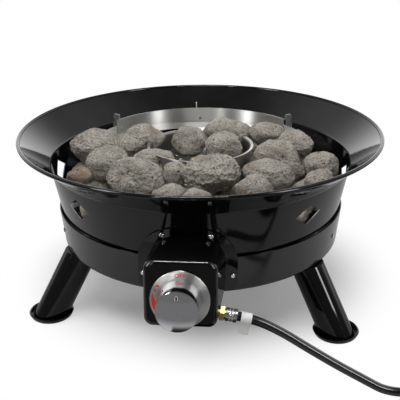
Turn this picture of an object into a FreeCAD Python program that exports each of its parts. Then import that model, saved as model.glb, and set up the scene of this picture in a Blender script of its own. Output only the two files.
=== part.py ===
import FreeCAD, Part

# Tabletop gas fire pit: flared enamel fire bowl on a base pan with three splayed tubular legs,
# a gas valve in a control box, a ring burner under lava rocks, a rear flame guard, and a gas
# hose with its regulator. Millimetres, +Z up, origin on the floor below the bowl's axis.
# The control box faces -Y. An azimuth is measured from -Y towards +X, in degrees.

import math
import os

from FreeCAD import Rotation, Vector

# ---- fire bowl -------------------------------------------------------------------------------
RIM_RADIUS = 305.0
RIM_TOP_Z = 298.9
RIM_BEAD_RADIUS = 3.0
NECK_RADIUS = 254.4
NECK_Z = 253.1
NECK_BEND = 6.0
BOWL_FOOT_RADIUS = 240.1
BOWL_FOOT_Z = 177.2
BOWL_SHEET = 1.5

VENT_HALF_WIDTH = 28.3
VENT_HALF_HEIGHT = 17.0
VENT_Z = 220.3
VENT_SLOTS = 8
VENT_CLOCKING = 0.6

# ---- base pan --------------------------------------------------------------------------------
PAN_LIP_RADIUS = 244.3
PAN_LIP_Z = 175.7
PAN_FLOOR_RADIUS = 238.0
PAN_FLOOR_Z = 115.0
PAN_BEND = 5.0
PAN_SHEET = 1.5
PAN_AIR_HOLE_RADIUS = 29.0
PAN_DRAIN_RADIUS = 8.0
PAN_DRAIN_CIRCLE = 120.0
PAN_DRAIN_COUNT = 8

# ---- brackets that carry the bowl and the rock tray -------------------------------------------
BRACKET_AZIMUTHS = (-67.5, 69.0, 180.0)
BRACKET_SWEEP = 5.6
BRACKET_SHEET = 1.5
BRACKET_SEAT = 0.1
BRACKET_FOOT_Z = 134.0
BRACKET_BEND_Z = 162.0
BRACKET_BOWL_Z = 176.0
BRACKET_TOP_Z = 206.0
SHELF_INNER_RADIUS = 200.0
RIVET_Z = 145.0
RIVET_RADIUS = 2.0
RIVET_HEAD_RADIUS = 3.6
RIVET_HEAD_HEIGHT = 1.4

# ---- legs ------------------------------------------------------------------------------------
LEG_AZIMUTHS = {"left": -63.1, "right": 56.9, "rear": 176.9}
LEG_SPLAY = 29.7
LEG_TUBE_RADIUS = 26.8
LEG_TUBE_WALL = 2.0
LEG_STUD_INSET = 21.6
LEG_FLANGE_OFFSET = 2.0
FLANGE_RADIUS = 37.5
FLANGE_FLAT_RADIUS = 34.0
FLANGE_LIP_HEIGHT = 7.5
FLANGE_BEND = 4.5
FLANGE_SHEET = 2.5
STUD_RADIUS = 5.0
STUD_LENGTH = 20.0
STUD_CLEARANCE = 0.3
WASHER_RADIUS = 14.0
WASHER_THICKNESS = 1.6
LEG_NUT_FLATS = 17.0
LEG_NUT_HEIGHT = 8.0

# ---- rock tray and burner --------------------------------------------------------------------
TRAY_FLOOR_Z = 188.0
TRAY_FLOOR_RADIUS = 211.0
TRAY_RIM_RADIUS = 217.0
TRAY_RIM_Z = 198.5
TRAY_SHEET = 1.2
TRAY_BEND = 3.0
TRAY_HOLE_RADIUS = 30.0
FLAME_RING_RADIUS = 86.5
FLAME_RING_TOP_Z = 270.5
FLAME_RING_LIP = 4.5
FLAME_RING_SHEET = 1.2
FLAME_RING_BEND = 2.0
FLAME_RING_PORTS = 12
FLAME_RING_PORT_RADIUS = 5.0
BURNER_INNER_RADIUS = 48.0
BURNER_OUTER_RADIUS = 72.0
BURNER_BOTTOM_Z = 208.0
BURNER_TOP_Z = 226.0
BURNER_SHEET = 1.5
BURNER_PORTS = 24
BURNER_PORT_RADIUS = 1.6
BURNER_HUB_RADIUS = 15.0
BURNER_SPOKE_RADIUS = 7.0
BURNER_MOUNT_AZIMUTHS = (0.0, 120.0, 240.0)
BURNER_POST_RADIUS = 4.0
GRATE_Z = 236.0
GRATE_SHEET = 2.0
GRATE_CLEARANCE = 0.6
GRATE_FOOT_RADIUS = 5.0
GRATE_HOLE_RADIUS = 4.0
GRATE_HOLE_CIRCLES = {18.0: 6, 36.0: 12, 54.0: 16, 72.0: 24}
MIXER_RADIUS = 11.0
MIXER_WALL = 1.5
MIXER_BOTTOM_Z = 162.0
MIXER_WINDOW_HEIGHT = 14.0
ORIFICE_RADIUS = 9.0
ORIFICE_HEIGHT = 24.0
JET_RADIUS = 3.0

# ---- control box -----------------------------------------------------------------------------
FACE_TILT = 7.5
DIAL_Y = -342.0
DIAL_Z = 164.8
BOX_HALF_WIDTH = 50.0
BOX_ABOVE_DIAL = 54.9
BOX_BELOW_DIAL = 42.0
BOX_CORNER = 13.0
BOX_EDGE = 8.0
BOX_SHEET = 1.5
BOX_ROOT_HALF_WIDTH = 57.0
BOX_ROOT_TOP_Z = 213.0
BOX_ROOT_CORNER = 44.0
BOX_ROOT_Y = -236.0
BOX_BOTTOM_Z = 123.0
COVER_HALF_WIDTH = 74.0
COVER_TOP_Z = 227.2
COVER_CORNER = 60.0
COVER_STANDOFF = 0.9
COVER_SCREWS = ((-8.2, 215.0), (8.2, 215.0), (-15.6, 147.5), (15.6, 147.5))
SCREW_RADIUS = 2.0
SCREW_CLEARANCE = 0.15
SCREW_HEAD_RADIUS = 3.7
SCREW_HEAD_HEIGHT = 2.4
SCREW_LENGTH = 9.0

# ---- valve, dial and knob: distances along the dial's axis start at the box face ---------------
BUSH_RADIUS = 8.0
BUSH_FRONT = 6.0
BUSH_CLEARANCE = 0.3
VALVE_HALF_WIDTH = 17.0
VALVE_ABOVE = 16.0
VALVE_BELOW = 34.0
VALVE_BACK = 32.0
VALVE_FRONT = 5.0
VALVE_SHOULDER_RADIUS = 14.0
DIAL_RADIUS = 41.0
DIAL_TIP = 41.0
DIAL_TIP_HALF_ANGLE = 60.0
DIAL_TIP_ROUND = 9.0
DIAL_SHEET = 1.0
LOCK_NUT_FLATS = 20.0
LOCK_NUT_HEIGHT = 3.5
STEM_RADIUS = 4.0
STEM_FIT = 0.05
STEM_BACK = 24.0
STEM_FRONT = 34.0
KNOB_BACK = 5.0
KNOB_FRONT = 40.0
KNOB_SKIRT_RADIUS = 29.6
KNOB_RADIUS = 28.7
KNOB_WALL = 2.5
KNOB_HUB_RADIUS = 9.0
KNOB_HUB_BACK = 16.0
KNOB_TRAVEL = 3.0
COLLAR_THICKNESS = 1.5
COLLAR_RADIUS = 7.5
SPRING_WIRE = 0.5
SPRING_RADIUS = 6.0
SPRING_TURNS = 4.0
CAP_RADIUS = 28.0
CAP_RIM = 1.0
CAP_DOME = 3.6
POINTER_HALF_WIDTH = 2.3
POINTER_HALF_HEIGHT = 4.4
POINTER_CENTRE = 19.5
POINTER_PROUD = 0.3
POINTER_DEPTH = 1.2

# ---- gas inlet and internal gas tube -----------------------------------------------------------
INLET_Y = -321.6
INLET_Z = 134.6
INLET_NUT_X = 52.5
INLET_DROOP = 10.0
INLET_PIPE_RADIUS = 7.0
INLET_HOLE_RADIUS = 10.0
INLET_NUT_FLATS = 19.5
INLET_NUT_LENGTH = 6.0
FERRULE_RADIUS = 9.6
FERRULE_LENGTH = 15.5
FERRULE_NECK_RADIUS = 8.0
FERRULE_NECK_LENGTH = 2.5
GAS_TUBE_RADIUS = 4.0
GAS_TUBE_WALL = 0.9
GAS_TUBE_Z = 150.0
GROMMET_RADIUS = 12.0
GROMMET_GROOVE_RADIUS = 8.5
GROMMET_HALF_LENGTH = 4.5

# ---- rear flame guard --------------------------------------------------------------------------
GUARD_BAND_RADIUS = 190.0
GUARD_SHEET = 1.0
GUARD_BAND_BOTTOM_Z = 255.0
GUARD_BAND_TOP_Z = 281.0
GUARD_BAND_FROM = 130.3
GUARD_BAND_TO = 238.9
GUARD_RAIL_BOTTOM_Z = 241.0
GUARD_RAIL_TOP_Z = 269.5
GUARD_RAIL_FROM = 117.0
GUARD_RAIL_TO = 255.0
GUARD_FIN_AZIMUTHS = (128.5, 186.7, 237.0)
GUARD_FIN_SHEET = 1.6
GUARD_FIN_DEPTH = 13.5
GUARD_FIN_HOOK_Z = 290.0
GUARD_FIN_NOTCH_RADIUS = 5.0
GUARD_TAB_WIDTH = 14.0
GUARD_TAB_BOTTOM_Z = 250.0
GUARD_TAB_TOP_Z = 268.0
GUARD_RIVET_Z = 261.0
GUARD_RIVET_RADIUS = 1.5
GUARD_RIVET_HEAD_RADIUS = 2.6
GUARD_RIVET_HEAD_HEIGHT = 1.0
GUARD_RIVET_OFFSET = 7.0

# ---- lava rocks: flattened round stones, each resting on what lies below it ---------------------
ROCK_FLATNESS = 0.78
ROCK_GAP = 0.4
LOWER_ROCK_CIRCLE = 185.0
LOWER_ROCK_HALF_WIDTH = 29.0
LOWER_ROCK_COUNT = (2, 2, 10)
MIDDLE_ROCK_CIRCLE = 122.0
MIDDLE_ROCK_HALF_WIDTH = 29.0
MIDDLE_ROCK_COUNT = 12
UPPER_ROCKS = {
    "left": ((-183.0, 4.0, 39.0), (-115.0, 50.0, 35.0), (-152.0, -76.0, 31.0), (-190.0, -114.0, 20.0)),
    "front": ((-94.0, -122.0, 37.0), (-100.0, -52.0, 20.0), (28.0, -128.0, 40.0), (-35.0, -142.0, 24.0),
              (96.0, -156.0, 27.0), (-32.0, -108.0, 18.0), (-11.0, -184.0, 18.0)),
    "right": ((148.0, 56.0, 34.0), (140.0, -32.0, 33.0), (204.0, -40.0, 30.0), (198.0, -98.0, 25.0),
              (117.0, -97.0, 32.0), (97.0, 44.0, 16.0), (48.0, 124.0, 38.0)),
}
RING_ROCKS = ((-27.0, 42.0, 30.0), (40.0, 12.0, 31.0))

# ---- gas hose ----------------------------------------------------------------------------------
HOSE_RADIUS = 6.5
# Route from the inlet ferrule to the coil, after its first point at the ferrule.
HOSE_POINTS = (
    (97.8, -321.5, 126.7), (133.0, -318.2, 109.0), (178.0, -316.0, 77.8), (218.0, -314.2, 51.5),
    (258.0, -311.9, 27.0), (292.0, -310.2, 6.5), (336.0, -309.3, 6.5), (380.0, -311.5, 6.5),
)
COIL_X = 404.0
COIL_Y = -402.5
COIL_OUTER_TURN = 91.0
COIL_INNER_TURN = 65.0
COIL_LAYER_COUNT = 2
# Tail from the coil's top turn to the regulator, measured from the coil's centre.
TAIL_POINTS = (
    (-50.7, -75.3, 17.5), (-75.3, -50.7, 19.5), (-86.0, -17.5, 25.5), (-80.6, 16.8, 32.5),
    (-60.1, 45.0, 38.5), (-29.1, 60.8, 42.0), (5.7, 60.8, 42.0),
)
TAG_X = 89.0
TAG_WIDTH = 15.0
TAG_THICKNESS = 0.6
TAG_DROP = 20.0
TAG_GAP = 0.7
END_FERRULE_LENGTH = 16.0
REGULATOR_RADIUS = 25.0
REGULATOR_HEIGHT = 32.0
REGULATOR_NECK = 4.0
REGULATOR_PORT_RADIUS = 8.0
REGULATOR_CAP_RADIUS = 20.0
REGULATOR_CAP_HEIGHT = 9.0
NIPPLE_RADIUS = 6.5
NIPPLE_LENGTH = 34.0
COUPLING_RADIUS = 14.5
COUPLING_LENGTH = 26.0
COUPLING_BORE_DEPTH = 20.0
COUPLING_BORE_RADIUS = 11.0
COUPLING_FIT = 0.05
COUPLING_GAP = 0.5
COUPLING_RIBS = 18
COUPLING_RIB_RADIUS = 1.3

AXIS_Z = Vector(0, 0, 1)


def export(name, shape):
    """Write one node's solids as a STEP file."""
    if not shape.isValid():
        print("invalid shape:", name)
    shape.exportStep("parts/" + name + ".step")


def at_azimuth(shape, azimuth):
    """Turn a shape that was built at the front (-Y) about the bowl's axis."""
    turned = shape.copy()
    turned.rotate(Vector(0, 0, 0), AXIS_Z, azimuth)
    return turned


def group(shapes):
    """Separate like solids that share one node."""
    return Part.makeCompound(list(shapes))


def front_point(radius, z):
    return Vector(0, -radius, z)


def straight(a, b):
    return Part.LineSegment(a, b).toShape()


def face_of(edges):
    return Part.Face(Part.Wire(Part.__sortEdges__(edges)))


def polygon_face(points):
    return Part.Face(Part.makePolygon(list(points) + [points[0]]))


def revolved(face, sweep=360.0):
    """Revolve a profile that lies in the front half plane, centred on azimuth 0."""
    solid = face.revolve(Vector(0, 0, 0), AXIS_Z, sweep)
    if sweep < 360.0:
        solid.rotate(Vector(0, 0, 0), AXIS_Z, -sweep / 2)
    return solid


def ring(outer_radius, inner_radius, bottom_z, top_z):
    outer = Part.makeCylinder(outer_radius, top_z - bottom_z, Vector(0, 0, bottom_z))
    return outer.cut(Part.makeCylinder(inner_radius, top_z - bottom_z, Vector(0, 0, bottom_z)))


def bent_sheet(points, bends, thickness):
    """Profile face of a bent sheet in the front half plane.

    points are (radius, z) along one surface, bends the bend radii on that surface at the inner
    points, and the thickness lies to the left of the path.
    """
    path = [Vector(r, z, 0) for r, z in points]
    near, far = [], []
    near_at = path[0]
    first = (path[1] - path[0]).normalize()
    far_at = path[0] + Vector(-first.y, first.x, 0) * thickness
    start_pair = (near_at, far_at)
    for index, bend in enumerate(bends, start=1):
        before = (path[index] - path[index - 1]).normalize()
        after = (path[index + 1] - path[index]).normalize()
        turn = math.atan2(before.x * after.y - before.y * after.x, before.dot(after))
        side = 1.0 if turn > 0 else -1.0
        reach = bend * math.tan(abs(turn) / 2)
        left_before = Vector(-before.y, before.x, 0)
        left_after = Vector(-after.y, after.x, 0)
        begin = path[index] - before * reach
        end = path[index] + after * reach
        centre = begin + left_before * (side * bend)
        middle_direction = ((begin + end) * 0.5 - centre).normalize()
        far_bend = bend - side * thickness
        near.append(straight(near_at, begin))
        near.append(Part.Arc(begin, centre + middle_direction * bend, end).toShape())
        far_begin = begin + left_before * thickness
        far_end = end + left_after * thickness
        far.append(straight(far_at, far_begin))
        far.append(Part.Arc(far_begin, centre + middle_direction * far_bend, far_end).toShape())
        near_at, far_at = end, far_end
    last = (path[-1] - path[-2]).normalize()
    far_last = path[-1] + Vector(-last.y, last.x, 0) * thickness
    near.append(straight(near_at, path[-1]))
    far.append(straight(far_at, far_last))
    face = face_of(near + far + [straight(*start_pair), straight(path[-1], far_last)])
    # The profile was drawn in XY: stand it up and turn it to the front.
    face.rotate(Vector(0, 0, 0), Vector(1, 0, 0), 90)
    face.rotate(Vector(0, 0, 0), AXIS_Z, -90)
    return face


def hexagon_prism(flats, length, base, direction):
    corner = flats / math.sqrt(3)
    points = [Vector(corner * math.cos(math.radians(60 * i)), corner * math.sin(math.radians(60 * i)), 0)
              for i in range(6)]
    prism = polygon_face(points).extrude(Vector(0, 0, length))
    return placed(prism, base, direction)


def placed(shape, base, direction):
    """Move a shape built along +Z from the origin to a base point and direction."""
    moved = shape.copy()
    turn = Rotation(AXIS_Z, direction)
    moved.Placement = FreeCAD.Placement(base, turn).multiply(moved.Placement)
    return moved


# ---- shapes that several pieces share ---------------------------------------------------------
BOWL_SLOPE = (NECK_RADIUS - BOWL_FOOT_RADIUS) / (NECK_Z - BOWL_FOOT_Z)
PAN_SLOPE = (PAN_LIP_RADIUS - PAN_FLOOR_RADIUS) / (PAN_LIP_Z - PAN_FLOOR_Z)


def bowl_radius(z, depth=0.0):
    """Radius of the drum wall at a height, depth millimetres in from its outer surface."""
    outer = BOWL_FOOT_RADIUS + BOWL_SLOPE * (z - BOWL_FOOT_Z)
    return outer - depth * math.hypot(1, BOWL_SLOPE)


def pan_radius(z, depth=0.0):
    """Radius of the pan wall at a height, depth millimetres in from its outer surface."""
    outer = PAN_FLOOR_RADIUS + PAN_SLOPE * (z - PAN_FLOOR_Z)
    return outer - depth * math.hypot(1, PAN_SLOPE)


FACE_NORMAL = Vector(0, -math.cos(math.radians(FACE_TILT)), math.sin(math.radians(FACE_TILT)))
FACE_UP = Vector(0, math.sin(math.radians(FACE_TILT)), math.cos(math.radians(FACE_TILT)))
DIAL_CENTRE = Vector(0, DIAL_Y, DIAL_Z)


def on_face(across, up, out):
    """Point by its distances across, up and out of the control box face from the dial centre."""
    return DIAL_CENTRE + Vector(across, 0, 0) + FACE_UP * up + FACE_NORMAL * out


def dial_cylinder(radius, back, front):
    return Part.makeCylinder(radius, front - back, on_face(0, 0, back), FACE_NORMAL)


INLET_DIRECTION = Vector(math.cos(math.radians(INLET_DROOP)), 0, -math.sin(math.radians(INLET_DROOP)))
INLET_START = Vector(INLET_NUT_X, INLET_Y, INLET_Z)
FERRULE_START = INLET_START + INLET_DIRECTION * INLET_NUT_LENGTH
FERRULE_END = FERRULE_START + INLET_DIRECTION * (FERRULE_NECK_LENGTH + FERRULE_LENGTH)
TRAY_TOP_Z = TRAY_FLOOR_Z + TRAY_SHEET
FLANGE_TOP_Z = PAN_FLOOR_Z


# ---- bowl, pan and their brackets --------------------------------------------------------------
def rivet(outer_radius_at_z, grip, shank, head, head_height, z):
    """Rivet along the radius at the front: an outer head, a shank and a formed inner head."""
    outward = Vector(0, -1, 0)
    outer = Part.makeCylinder(head, head_height, front_point(outer_radius_at_z, z), outward)
    middle = Part.makeCylinder(shank, grip, front_point(outer_radius_at_z - grip, z), outward)
    inner = Part.makeCylinder(head, head_height, front_point(outer_radius_at_z - grip - head_height, z),
                              outward)
    return outer.fuse([middle, inner]).removeSplitter()


def rivet_hole(z, radius, reach):
    return Part.makeCylinder(radius, reach * 2, front_point(pan_radius(z) + reach, z), Vector(0, 1, 0))


def fire_bowl():
    bead_centre_radius = RIM_RADIUS - RIM_BEAD_RADIUS
    bead_centre_z = RIM_TOP_Z - RIM_BEAD_RADIUS
    sheet = bent_sheet(
        [(BOWL_FOOT_RADIUS, BOWL_FOOT_Z), (NECK_RADIUS, NECK_Z), (bead_centre_radius, bead_centre_z)],
        [NECK_BEND], BOWL_SHEET)
    bead_edge = Part.makeCircle(RIM_BEAD_RADIUS, front_point(bead_centre_radius, bead_centre_z),
                                Vector(1, 0, 0))
    bead = Part.Face(Part.Wire(bead_edge))
    bowl = revolved(sheet.cut(bead).Faces[0]).fuse(revolved(bead)).removeSplitter()
    reach = abs(NECK_RADIUS - BOWL_FOOT_RADIUS) + BOWL_SHEET
    lozenge = polygon_face([
        front_point(NECK_RADIUS + reach, VENT_Z - VENT_HALF_HEIGHT),
        Vector(VENT_HALF_WIDTH, -NECK_RADIUS - reach, VENT_Z),
        front_point(NECK_RADIUS + reach, VENT_Z + VENT_HALF_HEIGHT),
        Vector(-VENT_HALF_WIDTH, -NECK_RADIUS - reach, VENT_Z)])
    vent = lozenge.extrude(Vector(0, 4 * reach, 0))
    # The slot at the front stays closed: the control box covers it.
    vents = [at_azimuth(vent, VENT_CLOCKING + 360.0 * i / VENT_SLOTS) for i in range(1, VENT_SLOTS)]
    return bowl.cut(vents + [h for z_low, h in cover_screw_holes() if z_low])


def base_pan():
    profile = bent_sheet(
        [(PAN_AIR_HOLE_RADIUS, PAN_FLOOR_Z), (PAN_FLOOR_RADIUS, PAN_FLOOR_Z), (PAN_LIP_RADIUS, PAN_LIP_Z)],
        [PAN_BEND], PAN_SHEET)
    pan = revolved(profile)
    drain = Part.makeCylinder(PAN_DRAIN_RADIUS, 4 * PAN_SHEET,
                              front_point(PAN_DRAIN_CIRCLE, PAN_FLOOR_Z - PAN_SHEET))
    holes = [at_azimuth(drain, 360.0 * (i + 0.5) / PAN_DRAIN_COUNT) for i in range(PAN_DRAIN_COUNT)]
    stud_hole = Part.makeCylinder(STUD_RADIUS + STUD_CLEARANCE, 4 * PAN_SHEET,
                                  front_point(leg_stud_radius(), PAN_FLOOR_Z - PAN_SHEET))
    holes += [at_azimuth(stud_hole, azimuth) for azimuth in LEG_AZIMUTHS.values()]
    hole = rivet_hole(RIVET_Z, RIVET_RADIUS, GROMMET_RADIUS)
    holes += [at_azimuth(hole, azimuth) for azimuth in BRACKET_AZIMUTHS]
    holes.append(Part.makeCylinder(GROMMET_GROOVE_RADIUS, 4 * GROMMET_RADIUS,
                                   front_point(pan_radius(GAS_TUBE_Z) + 2 * GROMMET_RADIUS, GAS_TUBE_Z),
                                   Vector(0, 1, 0)))
    return pan.cut(holes + [h for z_low, h in cover_screw_holes() if not z_low])


def support_bracket():
    """Strip riveted inside the pan and welded inside the bowl, with a shelf for the rock tray."""
    strip = revolved(bent_sheet(
        [(pan_radius(BRACKET_FOOT_Z, PAN_SHEET + BRACKET_SEAT), BRACKET_FOOT_Z),
         (pan_radius(BRACKET_BEND_Z, PAN_SHEET + BRACKET_SEAT), BRACKET_BEND_Z),
         (bowl_radius(BRACKET_BOWL_Z, BOWL_SHEET + BRACKET_SEAT), BRACKET_BOWL_Z),
         (bowl_radius(BRACKET_TOP_Z, BOWL_SHEET + BRACKET_SEAT), BRACKET_TOP_Z)],
        [2 * BRACKET_SHEET, 2 * BRACKET_SHEET], BRACKET_SHEET), BRACKET_SWEEP)
    shelf_bottom = TRAY_FLOOR_Z - BRACKET_SHEET
    shelf = revolved(polygon_face([
        front_point(SHELF_INNER_RADIUS, shelf_bottom),
        front_point(bowl_radius(shelf_bottom, BOWL_SHEET + BRACKET_SHEET / 2), shelf_bottom),
        front_point(bowl_radius(TRAY_FLOOR_Z, BOWL_SHEET + BRACKET_SHEET / 2), TRAY_FLOOR_Z),
        front_point(SHELF_INNER_RADIUS, TRAY_FLOOR_Z)]), BRACKET_SWEEP)
    return strip.fuse(shelf).cut(rivet_hole(RIVET_Z, RIVET_RADIUS, GROMMET_RADIUS)).removeSplitter()


def bracket_rivet():
    grip = PAN_SHEET + BRACKET_SEAT + BRACKET_SHEET
    blank = rivet(pan_radius(RIVET_Z), grip, RIVET_RADIUS, RIVET_HEAD_RADIUS, RIVET_HEAD_HEIGHT, RIVET_Z)
    # The heads are trimmed where the walls slope, so that they seat on them.
    walls = revolved(polygon_face([
        front_point(pan_radius(z, depth), z)
        for z, depth in ((BRACKET_FOOT_Z, 0), (BRACKET_BEND_Z, 0), (BRACKET_BEND_Z, grip),
                         (BRACKET_FOOT_Z, grip))]), BRACKET_SWEEP)
    shank = Part.makeCylinder(RIVET_RADIUS, 4 * GROMMET_RADIUS,
                              front_point(pan_radius(RIVET_Z) + 2 * GROMMET_RADIUS, RIVET_Z),
                              Vector(0, 1, 0))
    return blank.cut(walls.cut(shank)).removeSplitter()


# ---- legs --------------------------------------------------------------------------------------
def leg_stud_radius():
    """Distance of the leg's stud and top flange from the bowl's axis, inside the pan wall."""
    return PAN_FLOOR_RADIUS - LEG_STUD_INSET


def leg_floor_radius():
    """Distance of the leg's axis from the bowl's axis on the floor."""
    top_radius = leg_stud_radius() - LEG_FLANGE_OFFSET
    return top_radius + FLANGE_TOP_Z * math.tan(math.radians(LEG_SPLAY))


def leg_bar(radius, bottom_z, top_z):
    """Round bar along the leg's slant, cut level at two heights."""
    axis = Vector(0, math.sin(math.radians(LEG_SPLAY)), math.cos(math.radians(LEG_SPLAY)))
    start = front_point(leg_floor_radius(), 0) - axis * FLANGE_RADIUS
    bar = Part.makeCylinder(radius, FLANGE_TOP_Z * 2 + FLANGE_RADIUS, start, axis)
    slab = Part.makeBox(4 * FLANGE_RADIUS, 8 * FLANGE_RADIUS, top_z - bottom_z,
                        Vector(-2 * FLANGE_RADIUS, -leg_floor_radius() - 2 * FLANGE_RADIUS, bottom_z))
    return bar.common(slab)


def leg_tube():
    bottom_z = FLANGE_SHEET
    top_z = FLANGE_TOP_Z - FLANGE_SHEET
    wall = leg_bar(LEG_TUBE_RADIUS, bottom_z, top_z)
    return wall.cut(leg_bar(LEG_TUBE_RADIUS - LEG_TUBE_WALL, bottom_z, top_z))


def leg_flange():
    """Round flange with a raised lip, centred on the origin and resting on z = 0."""
    profile = bent_sheet([(0.0, 0.0), (FLANGE_FLAT_RADIUS, 0.0), (FLANGE_RADIUS, FLANGE_LIP_HEIGHT)],
                         [FLANGE_BEND], FLANGE_SHEET)
    return revolved(profile)


def foot_flange():
    foot = leg_flange()
    foot.translate(front_point(leg_floor_radius() - LEG_FLANGE_OFFSET, 0))
    return foot


def top_flange():
    """Level plate welded on the tube's top, against the pan floor, with a hole for the stud."""
    flange = leg_bar(LEG_TUBE_RADIUS, FLANGE_TOP_Z - FLANGE_SHEET, FLANGE_TOP_Z)
    hole = Part.makeCylinder(STUD_RADIUS, 4 * FLANGE_SHEET,
                             front_point(leg_stud_radius(), FLANGE_TOP_Z - 2 * FLANGE_SHEET))
    return flange.cut(hole)


def leg_stud():
    """Stud welded in the top flange, with a head under it."""
    base = front_point(leg_stud_radius(), FLANGE_TOP_Z - FLANGE_SHEET)
    shank = Part.makeCylinder(STUD_RADIUS, STUD_LENGTH, base)
    head = Part.makeCylinder(2 * STUD_RADIUS, STUD_RADIUS, base, Vector(0, 0, -1))
    return shank.fuse(head).removeSplitter()


def leg_washer():
    bottom = PAN_FLOOR_Z + PAN_SHEET
    washer = ring(WASHER_RADIUS, STUD_RADIUS + STUD_CLEARANCE, bottom, bottom + WASHER_THICKNESS)
    washer.translate(front_point(leg_stud_radius(), 0))
    return washer


def leg_nut():
    bottom = PAN_FLOOR_Z + PAN_SHEET + WASHER_THICKNESS
    nut = hexagon_prism(LEG_NUT_FLATS, LEG_NUT_HEIGHT, front_point(leg_stud_radius(), bottom), AXIS_Z)
    return nut.cut(Part.makeCylinder(STUD_RADIUS, LEG_NUT_HEIGHT, front_point(leg_stud_radius(), bottom)))


# ---- rock tray and burner ----------------------------------------------------------------------
def rock_tray():
    profile = bent_sheet(
        [(TRAY_HOLE_RADIUS, TRAY_FLOOR_Z), (TRAY_FLOOR_RADIUS, TRAY_FLOOR_Z), (TRAY_RIM_RADIUS, TRAY_RIM_Z)],
        [TRAY_BEND], TRAY_SHEET)
    return revolved(profile)


def flame_ring():
    outer = FLAME_RING_RADIUS
    lip_z = FLAME_RING_TOP_Z - FLAME_RING_SHEET
    profile = bent_sheet([(outer, TRAY_TOP_Z), (outer, lip_z), (outer + FLAME_RING_LIP, lip_z)],
                         [FLAME_RING_BEND], FLAME_RING_SHEET)
    port = Part.makeCylinder(FLAME_RING_PORT_RADIUS, 2 * FLAME_RING_LIP + FLAME_RING_SHEET,
                             front_point(outer + FLAME_RING_LIP, TRAY_TOP_Z + 2 * FLAME_RING_PORT_RADIUS),
                             Vector(0, 1, 0))
    ports = [at_azimuth(port, 360.0 * i / FLAME_RING_PORTS) for i in range(FLAME_RING_PORTS)]
    return revolved(profile).cut(ports)


def burner_circle():
    return (BURNER_INNER_RADIUS + BURNER_OUTER_RADIUS) / 2


def burner_ring():
    """Hollow ring with flame ports, joined by three spoke tubes to a central hub."""
    body = ring(BURNER_OUTER_RADIUS, BURNER_INNER_RADIUS, BURNER_BOTTOM_Z, BURNER_TOP_Z)
    hollow = ring(BURNER_OUTER_RADIUS - BURNER_SHEET, BURNER_INNER_RADIUS + BURNER_SHEET,
                  BURNER_BOTTOM_Z + BURNER_SHEET, BURNER_TOP_Z - BURNER_SHEET)
    middle_z = (BURNER_BOTTOM_Z + BURNER_TOP_Z) / 2
    hub = Part.makeCylinder(BURNER_HUB_RADIUS, BURNER_TOP_Z - BURNER_BOTTOM_Z, Vector(0, 0, BURNER_BOTTOM_Z))
    hub_bore = Part.makeCylinder(MIXER_RADIUS - MIXER_WALL, middle_z + BURNER_SPOKE_RADIUS - BURNER_BOTTOM_Z,
                                 Vector(0, 0, BURNER_BOTTOM_Z))
    solids, bores = [hub], [hollow, hub_bore]
    for azimuth in BURNER_MOUNT_AZIMUTHS:
        start = Vector(0, 0, middle_z)
        outward = Vector(0, -1, 0)
        spoke = Part.makeCylinder(BURNER_SPOKE_RADIUS, burner_circle(), start, outward)
        bore = Part.makeCylinder(BURNER_SPOKE_RADIUS - BURNER_SHEET, burner_circle(), start, outward)
        solids.append(at_azimuth(spoke, azimuth))
        bores.append(at_azimuth(bore, azimuth))
    port = Part.makeCylinder(BURNER_PORT_RADIUS, 2 * BURNER_SHEET,
                             front_point(burner_circle(), BURNER_TOP_Z - BURNER_SHEET * 1.5))
    bores += [at_azimuth(port, 360.0 * (i + 0.5) / BURNER_PORTS) for i in range(BURNER_PORTS)]
    return body.fuse(solids).cut(bores)


def burner_post():
    return Part.makeCylinder(BURNER_POST_RADIUS, BURNER_BOTTOM_Z - TRAY_TOP_Z,
                             front_point(burner_circle(), TRAY_TOP_Z))


def burner_grate():
    """Perforated plate that stands on the burner and carries the stones inside the ring."""
    radius = FLAME_RING_RADIUS - FLAME_RING_SHEET - GRATE_CLEARANCE
    plate = Part.makeCylinder(radius, GRATE_SHEET, Vector(0, 0, GRATE_Z))
    foot = Part.makeCylinder(GRATE_FOOT_RADIUS, GRATE_Z - BURNER_TOP_Z, front_point(burner_circle(),
                                                                                    BURNER_TOP_Z))
    feet = [at_azimuth(foot, azimuth) for azimuth in BURNER_MOUNT_AZIMUTHS]
    holes = []
    for circle, count in GRATE_HOLE_CIRCLES.items():
        hole = Part.makeCylinder(GRATE_HOLE_RADIUS, GRATE_SHEET, front_point(circle, GRATE_Z))
        holes += [at_azimuth(hole, 360.0 * (i + 0.5) / count) for i in range(count)]
    return plate.cut(holes).fuse(feet).removeSplitter()


def air_mixer():
    """Tube below the burner hub that draws in air round the gas jet."""
    height = BURNER_BOTTOM_Z - MIXER_BOTTOM_Z
    tube = Part.makeCylinder(MIXER_RADIUS, height, Vector(0, 0, MIXER_BOTTOM_Z))
    bore = Part.makeCylinder(MIXER_RADIUS - MIXER_WALL, height - MIXER_WALL,
                             Vector(0, 0, MIXER_BOTTOM_Z + MIXER_WALL))
    jet_hole = Part.makeCylinder(JET_RADIUS, MIXER_WALL, Vector(0, 0, MIXER_BOTTOM_Z))
    window = Part.makeBox(4 * MIXER_RADIUS, MIXER_RADIUS, MIXER_WINDOW_HEIGHT,
                          Vector(-2 * MIXER_RADIUS, -MIXER_RADIUS / 2, MIXER_BOTTOM_Z + 2 * MIXER_WALL))
    return tube.cut([bore, jet_hole, window])


def gas_orifice():
    """Brass block on the end of the gas tube, with its jet in the mixer's foot."""
    body = Part.makeCylinder(ORIFICE_RADIUS, ORIFICE_HEIGHT, Vector(0, 0, MIXER_BOTTOM_Z - ORIFICE_HEIGHT))
    jet = Part.makeCylinder(JET_RADIUS, 2 * MIXER_WALL, Vector(0, 0, MIXER_BOTTOM_Z))
    return body.fuse(jet).removeSplitter()


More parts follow.
